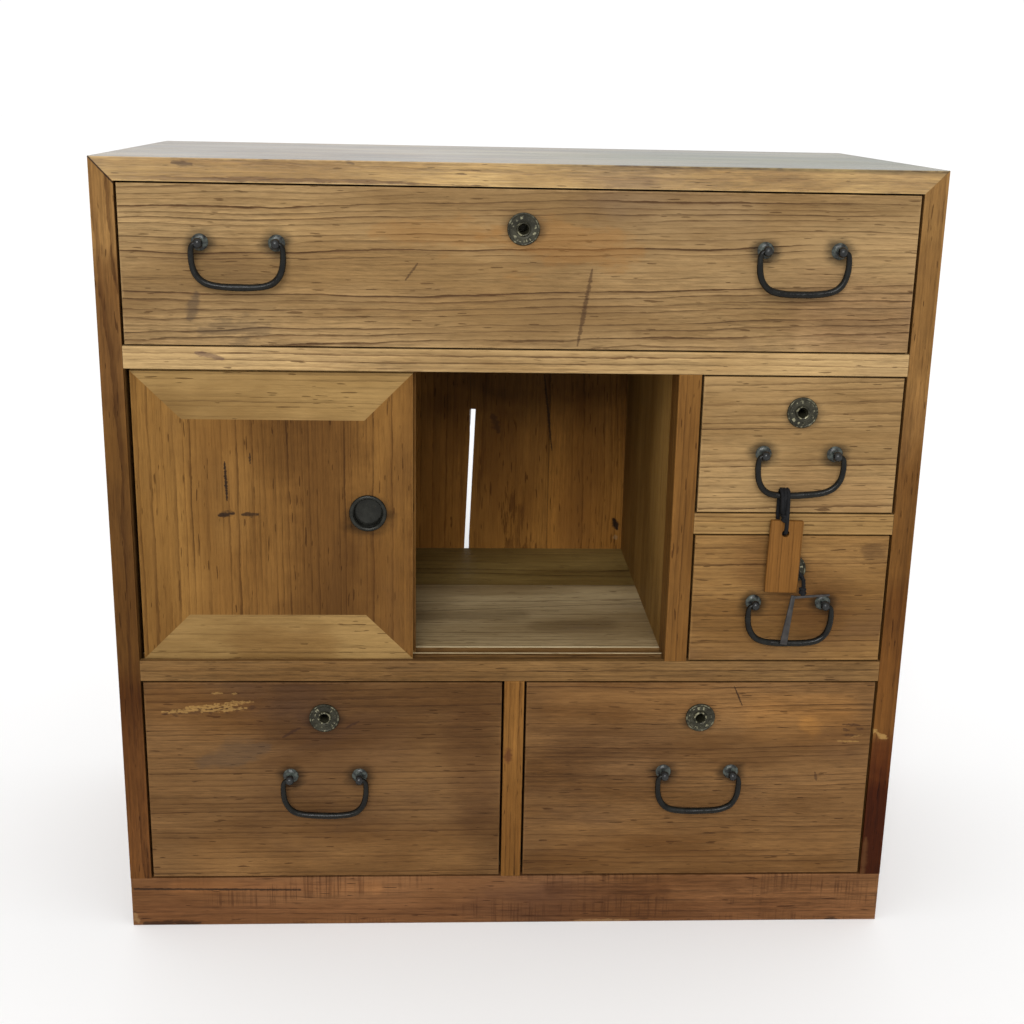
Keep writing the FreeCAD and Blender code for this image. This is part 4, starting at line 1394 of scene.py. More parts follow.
MARKS: dict[str, tuple[Mark, ...]] = {
    "top_drawer_front": (
        tint((-300, 645), (-190, 640), 40.0, (1.12, 1.14, 1.15)),
        tint((-170, 600), (-40, 590), 70.0, (1.13, 1.13, 1.11)),
        tint((250, 560), (310, 556), 46.0, (0.87, 0.83, 0.86)),
        tint((80, 640), (180, 634), 26.0, (1.04, 1.07, 1.14)),
        Mark((-34, 616), (94, 610), 24.0, OCHRE, 0.34, ragged=1.2),
        Mark((-118, 623), (-22, 621), 15.0, OCHRE, 0.26, ragged=1.0),
        Mark((56, 595), (46, 533), 2.6, UMBER, 0.62),
        Mark((-84, 598), (-94, 584), 1.3, UMBER, 0.6),
        Mark((-260, 572), (-266, 552), 8.0, SMEAR, 0.60),
        Mark((-255, 541), (-205, 545), 14.0, SMEAR, 0.40, ragged=1.4),
        tint((236, 560), (236, 536), 16.0, (1.20, 1.22, 1.25)),
    ),
    "upper_small_front": (
        tint((240, 415), (300, 400), 34.0, (0.88, 0.84, 0.82)),
    ),
    "lower_small_front": (
        tint((215, 345), (260, 310), 44.0, (0.72, 0.66, 0.62)),
        Mark((300, 360), (316, 352), 12.0, UMBER, 0.35),
    ),
    "bottom_left_front": (
        tint((-300, 216), (-230, 208), 34.0, (1.28, 1.25, 1.16)),
        tint((-200, 186), (-120, 176), 46.0, (0.90, 0.89, 0.94)),
        tint((-260, 70), (-60, 72), 40.0, (1.16, 1.14, 1.08)),
        tint((-40, 190), (-30, 110), 34.0, (0.80, 0.76, 0.74)),
        Mark((-270, 160), (-215, 175), 22.0, SMEAR, 0.45, ragged=1.0),
        Mark((-304, 207), (-226, 213), 3.4, UMBER, 0.55, ragged=2.2),
        Mark((-304, 209), (-268, 211.5), 2.0, GOLD, 0.7, ragged=2.0),
        Mark((-284, 213), (-240, 215.5), 2.2, GOLD, 0.75, ragged=2.0),
        Mark((-272, 209.5), (-232, 212.5), 1.8, GOLD, 0.7, ragged=1.8),
        Mark((-250, 217.5), (-226, 218.5), 1.5, GOLD, 0.6, ragged=1.8),
        Mark((-262, 226.5), (-252, 227), 1.3, GOLD, 0.6, ragged=1.5),
        Mark((-244, 226), (-240, 226.5), 1.3, GOLD, 0.6, ragged=1.5),
        Mark((-201, 185), (-186, 194), 2.0, UMBER, 0.8),
        Mark((-146, 194), (-135, 200), 1.6, UMBER, 0.8),
    ),
    "bottom_right_front": (
        tint((40, 218), (290, 214), 24.0, (1.16, 1.14, 1.08)),
        tint((60, 165), (120, 172), 46.0, (0.88, 0.88, 0.94)),
        tint((230, 200), (290, 195), 34.0, (1.20, 1.16, 1.05)),
        tint((60, 75), (280, 72), 36.0, (1.12, 1.10, 1.04)),
        Mark((194, 233), (202, 215), 1.0, INK, 0.8, 0.5),
        Mark((293.5, 196.5), (309, 196), 1.4, UMBER, 0.75, ragged=1.2),
        Mark((293, 191.5), (300, 191), 1.6, UMBER, 0.7, ragged=1.2),
        Mark((306, 193), (313, 192), 1.6, UMBER, 0.6, ragged=1.2),
        Mark((293.5, 186.5), (307, 186), 1.5, UMBER, 0.7, ragged=1.2),
        Mark((290, 180.5), (309, 180), 1.2, GOLD, 0.6, ragged=1.4),
        Mark((302, 184), (312, 186.5), 1.0, GOLD, 0.35, ragged=2.0),
        tint((262, 196), (268, 190), 12.0, (1.35, 1.30, 1.12)),
        Mark((272, 150), (274, 142), 1.8, UMBER, 0.6),
    ),
    "right_side": (
        tint((331, 640), (331, 520), 60.0, (1.14, 1.18, 1.19)),
        tint((331, 670), (331, 640), 26.0, (1.2, 1.26, 1.34)),
        tint((331, 400), (331, 220), 70.0, (0.78, 0.70, 0.55)),
        tint((331, 300), (331, 206), 40.0, (0.80, 0.70, 0.60)),
        tint((330, 166), (332, 30), 30.0, (0.58, 0.42, 0.32)),
        tint((328, 150), (335, 30), 40.0, (0.62, 0.46, 0.34)),
        tint((329, 126), (337, 40), 34.0, (0.54, 0.38, 0.24)),
        Mark((324, 84), (324, 44), 5.0, (0.15, 0.070, 0.024), 0.30, ragged=0.4, soft=1.0),
        Mark((319, 192), (334, 183), 4.0, GOLD, 0.85, ragged=1.6),
    ),
    "left_side": (
        Mark((-340, 677), (-321.5, 657), 0.9, INK, 0.9, 0.5, 0.3, 0.0),
        tint((-331, 668), (-331, 622), 30.0, (1.40, 1.50, 1.62)),
        tint((-331, 570), (-331, 490), 30.0, (0.84, 0.79, 0.74)),
        tint((-331, 420), (-331, 250), 90.0, (0.62, 0.55, 0.40)),
        tint((-331, 190), (-331, 40), 70.0, (0.64, 0.50, 0.42)),
    ),
    "lower_post": (
        Mark((-4.0, 171), (-3.7, 163), 5.0, (0.080, 0.028, 0.009), 0.85, ragged=0.5, taper=0.1),
    ),
    "front_door_panel": (
        tint((-308, 500), (-304, 260), 58.0, (1.36, 1.46, 1.55)),
        tint((-168, 500), (-163, 260), 50.0, (0.66, 0.62, 0.59)),
        tint((-108, 500), (-106, 260), 22.0, (1.20, 1.23, 1.26)),
        tint((-236, 424), (-236, 376), 26.0, (1.17, 1.22, 1.30)),
        tint((-215, 490), (-200, 440), 34.0, (0.80, 0.78, 0.75)),
        Mark((-244, 431), (-243, 398), 1.7, INK, 0.95, 0.5),
        Mark((-223, 439), (-223, 430), 1.3, INK, 0.8),
        Mark((-250, 385), (-238, 387), 3.8, INK, 0.9),
        Mark((-231, 386), (-218, 386), 3.0, INK, 0.8),
    ),
    "front_door_clamps": (
        tint((-260, 492), (-190, 488), 30.0, (1.12, 1.14, 1.18)),
        tint((-230, 268), (-170, 266), 28.0, (0.78, 0.72, 0.66)),
    ),
    "upper_rail": (
        Mark((-263, 524), (-241, 519), 3.6, (0.085, 0.046, 0.040), 0.6),
    ),
    "base_frame": (
        Mark((-337, 37), (-189, 35), 1.5, INK, 0.85, 0.5, 0.5, 0.2),
        Mark((293, 1), (304, 1), 3.0, INK, 0.7),
        Mark((-338, 12), (-335, 3), 3.6, BARE, 0.6),
        Mark((-330, 2), (-280, 2), 4.0, INK, 0.7),
        tint((-330, 12), (330, 8), 20.0, (0.86, 0.82, 0.80)),
        Mark((60, 1), (110, 1.5), 2.4, BARE, 0.5),
        tint((-300, 38), (-120, 37), 9.0, (1.25, 1.22, 1.16)),
        tint((40, 34), (140, 30), 12.0, (0.74, 0.70, 0.68)),
    ),
    "top_board": (
        Mark((-340, 677), (-321.5, 657), 0.9, INK, 0.9, 0.5, 0.3, 0.0),
        Mark((340, 677), (321.5, 657), 0.7, INK, 0.8, 0.5, 0.3, 0.0),
        Mark((-275, 673), (-260, 672), 3.4, UMBER, 0.6),
        Mark((-140, 676), (-134, 674), 2.0, UMBER, 0.5),
        tint((190, 0), (340, 0), 330.0, (0.50, 0.60, 0.52), 0.95, True),
    ),
    "lower_shelf": (
        # Painted shadow across the back of the cupboard floor, with a sharp front edge
        tint((-330, 108), (330, 108), 69.0, (0.63, 0.56, 0.33), 0.02, True),
        tint((-330, -8), (330, 24), 26.0, (1.28, 1.32, 1.36), 0.5, True),
        Mark((-330, 39), (330, 39.5), 0.9, INK, 0.6, 0.4, 0.3, 0.0, above=True),
        Mark((-330, -68), (330, 12), 0.9, INK, 0.55, 0.4, 0.3, 0.0, above=True),
        tint((-80, -52), (10, -46), 18.0, (0.72, 0.70, 0.68), above=True),
        tint((30, -82), (90, -70), 20.0, (0.78, 0.76, 0.74), above=True),
    ),
    "back_boards": (
        # Painted shadow of the upper rail, darkening the top of the back boards
        tint((-330, 530), (330, 530), 160.0, (0.22, 0.21, 0.20)),
        Mark((122, 290), (126, 279), 5.0, INK, 0.95, 0.8, 0.4),
        Mark((124, 272), (125, 268), 4.0, BARE, 0.7),
        Mark((43, 447), (53, 366), 1.8, INK, 0.8),
        Mark((-11, 404), (-4, 386), 6.0, UMBER, 0.6),
    ),
}

# Reach of the stain and painted contact shadow round each post, lock and pull
POST_STAIN_AND_SHADOW = 14.0
LOCK_STAIN_AND_SHADOW = 18.0
PULL_STAIN_AND_SHADOW = 24.0
BACK_PLANKS = (0.084, -0.034)
SAW_CHATTER = 0.6


def metal_stains_and_shadows() -> dict[str, tuple[Mark, ...]]:
    """Lays a stain and a painted contact shadow round each post, lock and finger pull.

    Returns:
        The stains and painted shadows of each front.
    """
    stains_and_shadows = {"front_door_panel": (halo(opening_middle("front_door_pull_cup"), PULL_STAIN_AND_SHADOW),)}
    for drawer, body in DRAWERS.items():
        posts = tuple(halo(place, POST_STAIN_AND_SHADOW) for place in post_places(drawer))
        stains_and_shadows[f"{drawer}_front"] = (*posts, halo(opening_middle(f"{body}_keyhole"), LOCK_STAIN_AND_SHADOW))
    return stains_and_shadows


def board_finishes() -> dict[str, WoodFinish]:
    """Chooses each board's tone, cut, seed and marks.

    Returns:
        The finish of each wooden node.
    """
    level, upright, flat = Cut.LEVEL_FRONT, Cut.UPRIGHT_FRONT, Cut.LEVEL_TOP
    boards = {
        "top_board": (TOP_TONE, flat, 3.1, (0.03, -0.09, 0.01)),
        "left_side": (EDGE_TONE, Cut.UPRIGHT_SIDE, 5.2, (0.06, 0.10, 0.01)),
        "right_side": (EDGE_TONE, Cut.UPRIGHT_SIDE, 8.4, (0.06, -0.10, 0.01)),
        "base_frame": (BASE_TONE, level, 2.7, (0.15, -0.05, 0.01)),
        "bottom_board": (FLOOR_TONE, flat, 9.1),
        "upper_rail": (RAIL_TONE, level, 6.3),
        "lower_rail": (LOW_RAIL_TONE, level, 1.9),
        "small_rail": (SMALL_RAIL_TONE, level, 4.4),
        "divider_post": (POST_TONE, upright, 7.7),
        "lower_post": (POST_TONE, upright, 3.6),
        "lower_shelf": (FLOOR_TONE, flat, 5.9, (0.02, -0.14, 0.01)),
        "dust_boards": (FLOOR_TONE, flat, 1.3),
        "partitions": (SCREEN_TONE, Cut.UPRIGHT_SIDE, 4.9),
        "back_boards": (BACK_TONE, upright, 2.2, (0.02, -0.14, 0.01)),
        "top_drawer_front": (FRONT_TONE, level, 1.0, (-0.15, -0.10, -0.03)),
        "upper_small_front": (SMALL_TONE, level, 2.0, (0.14, -0.10, 0.03)),
        "lower_small_front": (LOW_SMALL_TONE, level, 3.0, (0.15, -0.10, 0.02)),
        "bottom_left_front": (LOW_TONE, level, 4.0, (0.16, -0.10, 0.02)),
        "bottom_right_front": (LOW_TONE, level, 5.0, (-0.15, -0.10, -0.02)),
    }
    for door, seed in (("front_door", 11.0), ("rear_door", 13.0)):
        boards[f"{door}_panel"] = (DOOR_TONE, upright, seed, (-0.20, -0.07, 0.01))
        boards[f"{door}_clamps"] = (CLAMP_TONE, level, seed + 1, (0.30, -0.06, 0.01))
    for seed, drawer in enumerate(DRAWERS, 21):
        boards[f"{drawer}_walls"] = (BOX_TONE, Cut.DEPTH_SIDE, seed)
        boards[f"{drawer}_bottom"] = (BOX_TONE, flat, seed + 8)
    planks = {"back_boards": BACK_PLANKS}
    stains_and_shadows = metal_stains_and_shadows()
    return {
        node: WoodFinish(
            *plan, marks=MARKS.get(node, ()) + stains_and_shadows.get(node, ()), plank=planks.get(node, ONE_PLANK),
            chatter=SAW_CHATTER if node == "base_frame" else 0.0,
        )
        for node, plan in boards.items()
    }


# Ironwork
IRON = MetalFinish(
    "iron", (0.0033, 0.0030, 0.0022), (0.0070, 0.0069, 0.0052), (0.012, 0.008, 0.005), 0.0, 0.21, shine=0.18
)
# The rosettes' pale grey-green is partly rubbed metal and partly a painted highlight
POST_IRON = MetalFinish(
    "post_iron", (0.007, 0.007, 0.007), (0.015, 0.016, 0.015), (0.018, 0.011, 0.007), 0.0, 0.24, shine=0.32,
    rubbed_and_highlight=(0.056, 0.066, 0.055), rubbed_and_highlight_from=-0.1672, rubbed_and_highlight_to=-0.1654,
)
BRONZE = MetalFinish(
    "lock_bronze", (0.018, 0.0165, 0.0095), (0.038, 0.035, 0.021), (0.010, 0.009, 0.006), 0.40, 0.30,
    rubbed_and_highlight=(0.215, 0.200, 0.125), rubbed_and_highlight_from=-0.16420, rubbed_and_highlight_to=-0.16462, rubbed_and_highlight_share=(0.50, 0.62),
)
STEEL = MetalFinish("bolt_steel", (0.16, 0.155, 0.145), (0.24, 0.235, 0.22), (0.10, 0.055, 0.03), 0.85, 0.34)
PULL_IRON = MetalFinish(
    "pull_iron", (0.0128, 0.0126, 0.0098), (0.022, 0.022, 0.0172), (0.026, 0.019, 0.012), 0.55, 0.25
)
KEY_IRON = MetalFinish(
    "key_iron", (0.030, 0.028, 0.027), (0.060, 0.054, 0.050), (0.075, 0.042, 0.026), 0.55, 0.46
)


@dataclass
class Bails:
    """Six iron bails, each drawn from pin to pin and hung in its posts."""

    half: tuple[tuple[float, float, float], ...] = (
        (0, -34.3, 3.0), (9, -34.15, 3.0), (17, -33.6, 2.95), (23.4, -32.4, 2.9), (28.2, -30.1, 2.85),
        (31.8, -26.6, 2.75), (34.3, -22.2, 2.7), (35.6, -17.0, 2.6), (36.1, -12.0, 2.55), (36.1, -7.0, 2.5),
        (35.9, -3.4, 2.35), (35.0, -1.2, 2.2), (33.4, -0.2, 2.05), (31.4, 0, 1.95), (27.2, 0, 1.9),
    )
    tilts: tuple[tuple[str, float], ...] = (
        ("top_left", -0.012), ("top_right", 0.006), ("upper_small", 0.050), ("lower_small", -0.008),
        ("bottom_left", -0.014), ("bottom_right", 0.010),
    )
    hang: float = -12.4
    tilted_below: float = 28.0
    dents: tuple[float, float] = (0.7, 11.0)

    def build(self) -> None:
        """Models and dresses the six."""
        iron = IRON.material()
        for name, tilt in self.tilts:
            bar = self.bar(f"{name}_bail_bar", tilt)
            piece = Bench.copy(bar, f"{name}_bail_forged", pivot(f"{name}_handle_swing"))
            Bench.drop(bar)
            Bench.uneven(piece, *self.dents)
            Bench.smooth(piece, 60)
            finish(piece, f"{name}_handle", iron, [f"{name}_bail"])

    def bar(self, name: str, tilt: float) -> bpy.types.Object:
        """Draws one bail at the origin.

        Args:
            name: Its name.
            tilt: How much its bar rises to the right, which wear has done.

        Returns:
            The bail.
        """
        stations = [(-x, z, r) for x, z, r in reversed(self.half[1:])] + list(self.half)
        path = [(x, z + tilt * (x - self.hang) * min(1.0, -z / self.tilted_below)) for x, z, _ in stations]
        bar = Bench.drawn(name, path, [r for *_, r in stations])
        Bench.modify(bar, "SUBSURF", levels=1, render_levels=1)
        return bar


@dataclass
class Posts:
    """The split posts that hold the bails, with their rosettes and clinched tails."""

    head: tuple[tuple[float, float], ...] = (
        (0.5, -4.25), (1.7, -4.05), (2.8, -3.35), (3.6, -2.35), (4.15, -1.1), (4.3, 0), (4.1, 1.3),
        (3.5, 2.5), (2.7, 3.6), (2.3, 4.8), (2.2, 6.6), (2.2, 27.0),
    )
    rosette: tuple[tuple[float, float], ...] = (
        (2.4, 7.15), (3.6, 7.2), (4.7, 7.45), (5.6, 7.9), (6.3, 8.4), (6.7, 8.8), (6.8, 9.0),
    )
    sides: int = 32
    cheek: float = 3.0
    eye: float = 2.06
    tail: tuple[float, float, float] = (7.0, 1.2, 1.5)
    tail_taper: float = 0.5
    tail_bevel: float = 0.3

    def build(self) -> None:
        """Models one post and copies it to every drawer."""
        pattern = self.post()
        iron = POST_IRON.material()
        for drawer, body in DRAWERS.items():
            places = enumerate(post_places(drawer))
            copies = [Bench.copy(pattern, f"{drawer}_post_{n}", place) for n, place in places]
            piece = Bench.join(f"{drawer}_posts_forged", copies)
            Bench.smooth(piece, 40)
            finish(piece, body, iron, [f"{drawer}_posts"])
        Bench.drop(pattern)

    def post(self) -> bpy.types.Object:
        """Models one post with its pivot at the origin.

        Returns:
            The post.
        """
        head = Bench.turned("post_head", self.head, self.sides)
        with Bench.editing(head):
            for side in (-1, 1):
                bpy.ops.mesh.select_all(action="SELECT")
                bpy.ops.mesh.bisect(
                    plane_co=(side * self.cheek * MM, 0, 0), plane_no=(side, 0, 0), use_fill=True,
                    clear_outer=True, threshold=CLEAN_CUT,
                )
            Bench.pick_faces(head, lambda middle, normal: abs(normal.x) > 0.9999)
            bpy.ops.mesh.poke()
        Bench.bore(head, Vector(), self.eye * MM, "X")
        long, thick, half = (v * MM for v in self.tail)
        back = self.head[-1][1] * MM
        tail = Bench.cube("post_tail", Vector((-long, back, -half)), Vector((long, back + thick, half)))
        with Bench.editing(tail):
            Bench.pick_faces(tail, lambda middle, normal: abs(normal.x) > 0.9)
            bpy.ops.mesh.extrude_region_move(TRANSFORM_OT_translate={"value": (0, 0, 0)})
            bpy.ops.transform.resize(value=(1, 1, self.tail_taper))
        Bench.bevel(tail, self.tail_bevel)
        dome = Bench.turned("post_rosette", self.rosette, self.sides)
        return Bench.join("post_pattern", [head, tail, dome])


@dataclass
class Locks:
    """Round lock plates with a keyhole ring, the lock cases behind the fronts, and the bolts."""

    plate: tuple[tuple[float, float], ...] = (
        (13.0, 0.0), (13.0, -0.9), (12.7, -1.3), (12.1, -1.45), (11.5, -1.3), (11.2, -1.0), (10.7, -0.95),
        (7.8, -1.0), (7.3, -0.95), (6.6, -0.8), (6.0, -0.75), (5.8, -1.5), (5.5, -2.2), (5.0, -2.48),
        (4.5, -2.25), (4.2, -1.5), (4.0, -0.3), (3.05, 1.4), (3.05, 18.0), (5.0, 18.0), (5.0, 0.0),
        (13.0, 0.0),
    )
    plate_sides: int = 72
    # Petals and beads: their ring's inner and outer radius, their number and their rise
    reliefs: tuple[tuple[float, float, int, float], ...] = ((8.0, 10.6, 12, 0.55), (11.9, 12.6, 24, 0.25))
    relief_share: float = 0.66
    relief_insets: tuple[float, float] = (0.2, 0.25)
    case: tuple[float, float, float] = (34.0, 11.0, 48.0)
    case_depth: float = 18.0
    case_bevel: float = 0.9
    channel: tuple[float, float, float, float] = (7.3, 2.7, 7.3, 26.0)
    channel_mouth: float = 2.0
    rivet: tuple[tuple[float, float], ...] = ((2.2, 0.0), (2.1, 0.35), (1.6, 0.8), (0.8, 1.0), (0.2, 1.05))
    rivet_sides: int = 16
    rivet_spots: tuple[tuple[float, float], ...] = ((-12, -6), (-12, -42), (12, -6), (12, -42))
    notch: tuple[float, float, float] = (2.5, 1.5, 3.0)
    bolt_bevel: float = 0.6

    def build(self) -> None:
        """Models one plate and one case, and copies them to every drawer."""
        plate, case = self.plate_pattern(), self.case_pattern()
        bronze, steel = BRONZE.material(), STEEL.material()
        for drawer, body in DRAWERS.items():
            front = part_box(f"{drawer}_front")[0].y
            inside = front + self.case_depth * MM
            key = opening_middle(f"{body}_keyhole")
            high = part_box(f"{drawer}_lock")[1]
            pieces = [
                Bench.copy(plate, f"{drawer}_lock_plate", Vector((key.x, front, key.z))),
                Bench.copy(case, f"{drawer}_lock_case", Vector((key.x, inside, high.z))),
            ]
            lock = Bench.join(f"{drawer}_lock_cast", pieces)
            Bench.smooth(lock, 38)
            finish(lock, body, bronze, [f"{drawer}_lock"])
            finish(self.bolt(drawer), f"{drawer}_bolt_slider", steel, [f"{drawer}_bolt"])
        Bench.drop(plate)
        Bench.drop(case)

    def on_ring(self, low: float, high: float, count: int) -> Callable[[Vector, Vector], bool]:
        """Makes the test that picks the faces of a ring's raised patches.

        Args:
            low: The ring's inner radius, in millimetres.
            high: Its outer radius.
            count: Patches round it.

        Returns:
            The test of a face's middle and normal.
        """
        def test(middle: Vector, normal: Vector) -> bool:
            """Tests one face.

            Args:
                middle: Its middle.
                normal: Its normal.

            Returns:
                Whether it looks to the front and lies on a patch.
            """
            turn = math.atan2(middle.z, middle.x) / math.tau % 1.0
            inside = low < math.hypot(middle.x, middle.z) / MM < high
            return inside and normal.y < -0.5 and turn * count % 1.0 < self.relief_share

        return test

    def plate_pattern(self) -> bpy.types.Object:
        """Turns the plate and raises a ring of petals and one of beads on it.

        Returns:
            The plate, its keyhole on the Y axis and its back at the origin.
        """
        plate = Bench.turned("lock_plate", self.plate, self.plate_sides)
        below, above = (v * MM for v in self.relief_insets)
        with Bench.editing(plate):
            for low, high, count, rise in self.reliefs:
                Bench.pick_faces(plate, self.on_ring(low, high, count))
                bpy.ops.mesh.inset(thickness=below, depth=0)
                bpy.ops.mesh.extrude_region_move(TRANSFORM_OT_translate={"value": (0, -rise * MM, 0)})
                bpy.ops.mesh.inset(thickness=above, depth=0)
        return plate

    def case_pattern(self) -> bpy.types.Object:
        """Models the lock case: a plate box with a bolt channel and four rivets.

        Returns:
            The case, the middle of its upper front edge at the origin.
        """
        wide, deep, tall = (v * MM for v in self.case)
        case = Bench.cube("lock_case", Vector((-wide / 2, 0, -tall)), Vector((wide / 2, deep, 0)))
        side, near, far, sink = (v * MM for v in self.channel)
        Bench.bevel(case, self.case_bevel)
        Bench.cut_out(case, Vector((-side, near, -sink)), Vector((side, far, self.channel_mouth * MM)))
        rivet = Bench.turned("lock_rivet", self.rivet, self.rivet_sides)
        spots = [Vector((x * MM, deep, z * MM)) for x, z in self.rivet_spots]
        rivets = [Bench.copy(rivet, f"lock_rivet_{n}", spot) for n, spot in enumerate(spots)]
        Bench.drop(rivet)
        return Bench.join("lock_case", [case, *rivets])

    def bolt(self, drawer: str) -> bpy.types.Object:
        """Models one bolt: a bar with a chamfered head and a notch in its back.

        Args:
            drawer: The drawer's name.

        Returns:
            The bolt.
        """
        low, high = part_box(f"{drawer}_bolt")
        bolt = Bench.cube(f"{drawer}_bolt_filed", low, high)
        middle = (low + high) / 2
        back = Vector((middle.x, high.y, middle.z))
        notch = Vector([v * MM for v in self.notch])
        Bench.cut_out(bolt, back - notch, back + notch)
        Bench.modify(bolt, "BEVEL", width=self.bolt_bevel * MM, segments=2, limit_method="ANGLE")
        Bench.smooth(bolt, 30)
        return bolt


@dataclass
class FingerPulls:
    """The round iron cups let into the doors."""

    profile: tuple[tuple[float, float], ...] = (
        (0.6, 6.5), (9.6, 6.45), (10.6, 6.25), (11.3, 6.4), (11.9, 5.9), (12.2, 5.0), (12.2, 0.9),
        (12.35, -0.2), (12.8, -0.95), (13.5, -1.4), (14.3, -1.5), (15.0, -1.3), (15.6, -0.75), (15.9, 0.0),
        (13.35, 0.0), (13.35, 7.5), (0.6, 7.5),
    )
    sides: int = 64
    dents: tuple[float, float] = (0.4, 20.0)

    def build(self) -> None:
        """Turns one cup and copies it to both doors."""
        pattern = Bench.turned("pull_pattern", self.profile, self.sides)
        material = PULL_IRON.material()
        for door in ("front_door", "rear_door"):
            middle = opening_middle(f"{door}_pull_cup")
            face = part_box(f"{door}_panel")[0].y
            cup = Bench.copy(pattern, f"{door}_pull_turned", Vector((middle.x, face, middle.z)))
            Bench.uneven(cup, *self.dents)
            Bench.smooth(cup, 42)
            finish(cup, door, material, [f"{door}_pull"])
        Bench.drop(pattern)


# Key set
@dataclass
class KeySet:
    """The key, its wooden tag and the black cord that hangs them on the bail's bar."""

    bar: tuple[float, float, float] = (223.35, -172.05, 409.5)
    route: tuple[tuple[float, float, float], ...] = (
        (2.9, 7.4, -32.0), (2.9, 3.0, -32.2), (2.8, -5.6, -31.6), (2.7, -5.7, -14.0), (2.6, -5.3, 5.3),
        (2.5, 5.3, 5.3), (2.2, 5.3, -14.5), (-1.6, -5.3, -15.0), (-2.6, -5.3, 5.3), (-2.7, 5.3, 5.3),
        (-3.2, 5.2, -16.0), (-1.5, 4.5, -36.0), (4.5, 4.2, -55.0), (14.6, 4.3, -67.0), (22.6, 3.2, -73.5),
        (22.2, -1.5, -78.5), (21.0, -5.8, -82.5), (21.0, -5.8, -86.5),
    )
    cord_radius: float = 1.8
    cord_length: float = 211.7
    cord_sides: int = 18
    strands: int = 3
    strand_core: float = 0.80
    strand_lobe: float = 0.20
    lay: float = 8.5
    knots: tuple[tuple[float, float, float], ...] = (
        (2.9, 4.2, -32.1), (1.2, -3.7, -18.5), (21.0, -3.6, -83.0),
    )
    # Each turn of a knot: its tilt, its spin and its rise
    knot_turns: tuple[tuple[float, float, float], ...] = (
        (0.35, 0.0, -1.5), (-0.45, 0.9, 0.0), (0.25, 2.1, 1.5),
    )
    knot_ring: tuple[float, float] = (2.0, 1.35)
    knot_dents: tuple[float, float] = (0.6, 4.0)
    bar_ring: float = 5.3
    bar_ring_share: float = 0.97
    waist_drop: float = 12.5
    waist_share: float = 0.75
    tag: tuple[float, float, float] = (28.0, 5.2, 64.0)
    tag_hole: tuple[float, float, float] = (2.9, 0.0, -32.2)
    tag_corner: tuple[float, float, float] = (-13.1, -3.2, -53.0)
    tag_lean: float = 1.4
    tag_bevel: float = 1.1
    tag_bore: float = 3.2
    arm: tuple[float, float] = (33.0, 2.4)
    arm_lean: float = 4.0
    arm_taper: tuple[float, float] = (0.75, 0.7)
    blade: tuple[float, float, float] = (45.0, 3.4, 6.4)
    blade_lean: float = 7.1
    foot_thinning: float = 0.8
    key_bevel: float = 0.5
    hang: float = 8.2

    def build(self) -> None:
        """Models and dresses the three."""
        self.build_cord([self.build_tag(), self.build_key()])

    def spot(self, offset: Sequence[float]) -> Vector:
        """Places a point given from the bar, in millimetres."""
        return (Vector(self.bar) + Vector(offset)) * MM

    def line(self) -> list[Vector]:
        """Draws the cord's line as a smooth curve.

        Returns:
            Points along it.
        """
        curve = bpy.data.curves.new("cord_line", "CURVE")
        curve.dimensions = "3D"
        curve.resolution_u = 14
        spline = curve.splines.new("NURBS")
        spline.points.add(len(self.route) - 1)
        for point, offset in zip(spline.points, self.route):
            point.co = (*self.spot(offset), 1.0)
        spline.order_u = 3
        spline.use_endpoint_u = True
        guide = bpy.data.objects.new("cord_line", curve)
        bpy.context.scene.collection.objects.link(guide)
        bpy.context.view_layer.update()
        mesh = bpy.data.meshes.new_from_object(guide.evaluated_get(bpy.context.evaluated_depsgraph_get()))
        points = [vertex.co.copy() for vertex in mesh.vertices]
        bpy.data.objects.remove(guide)
        bpy.data.meshes.remove(mesh)
        return points

    def lay_strands(self, points: Sequence[Vector]) -> bpy.types.Object:
        """Lays three strands round a line.

        Args:
            points: Points along the line.

        Returns:
            The cord.
        """
        sides = self.cord_sides
        rows, faces = [], []
        side = Vector((1, 0, 0))
        travelled = 0.0
        for n, point in enumerate(points):
            ahead = (points[min(n + 1, len(points) - 1)] - points[max(n - 1, 0)]).normalized()
            side = (side - ahead * side.dot(ahead)).normalized()
            up = ahead.cross(side)
            travelled += (point - points[n - 1]).length if n else 0.0
            twist = travelled / (self.lay * MM) * math.tau
            for k in range(sides):
                turn = math.tau * k / sides
                lobe = abs(math.cos(self.strands * (turn - twist) / 2))
                reach = self.cord_radius * MM * (self.strand_core + self.strand_lobe * lobe)
                rows.append(point + (side * math.cos(turn) + up * math.sin(turn)) * reach)
        for n in range(len(points) - 1):
            for k in range(sides):
                a, b = n * sides + k, n * sides + (k + 1) % sides
                faces.append((a, b, b + sides, a + sides))
        last = (len(points) - 1) * sides
        faces += [tuple(range(sides))[::-1], tuple(range(last, last + sides))]
        mesh = bpy.data.meshes.new("key_cord_laid")
        mesh.from_pydata(rows, [], faces)
        cord = bpy.data.objects.new("key_cord_laid", mesh)
        bpy.context.scene.collection.objects.link(cord)
        Bench.smooth(cord, 60)
        return cord

    def build_cord(self, hung: Sequence[bpy.types.Object]) -> None:
        """Lays the cord and ties its knots.

        Args:
            hung: The pieces that hang on the cord; not used.
        """
        points = self.line()
        cord = self.lay_strands(points)
        black = CordFinish().material()
        finish(cord, "key_set", black, ["key_cord"])
        knots = self.build_knots()
        finish(knots, "key_set", black)

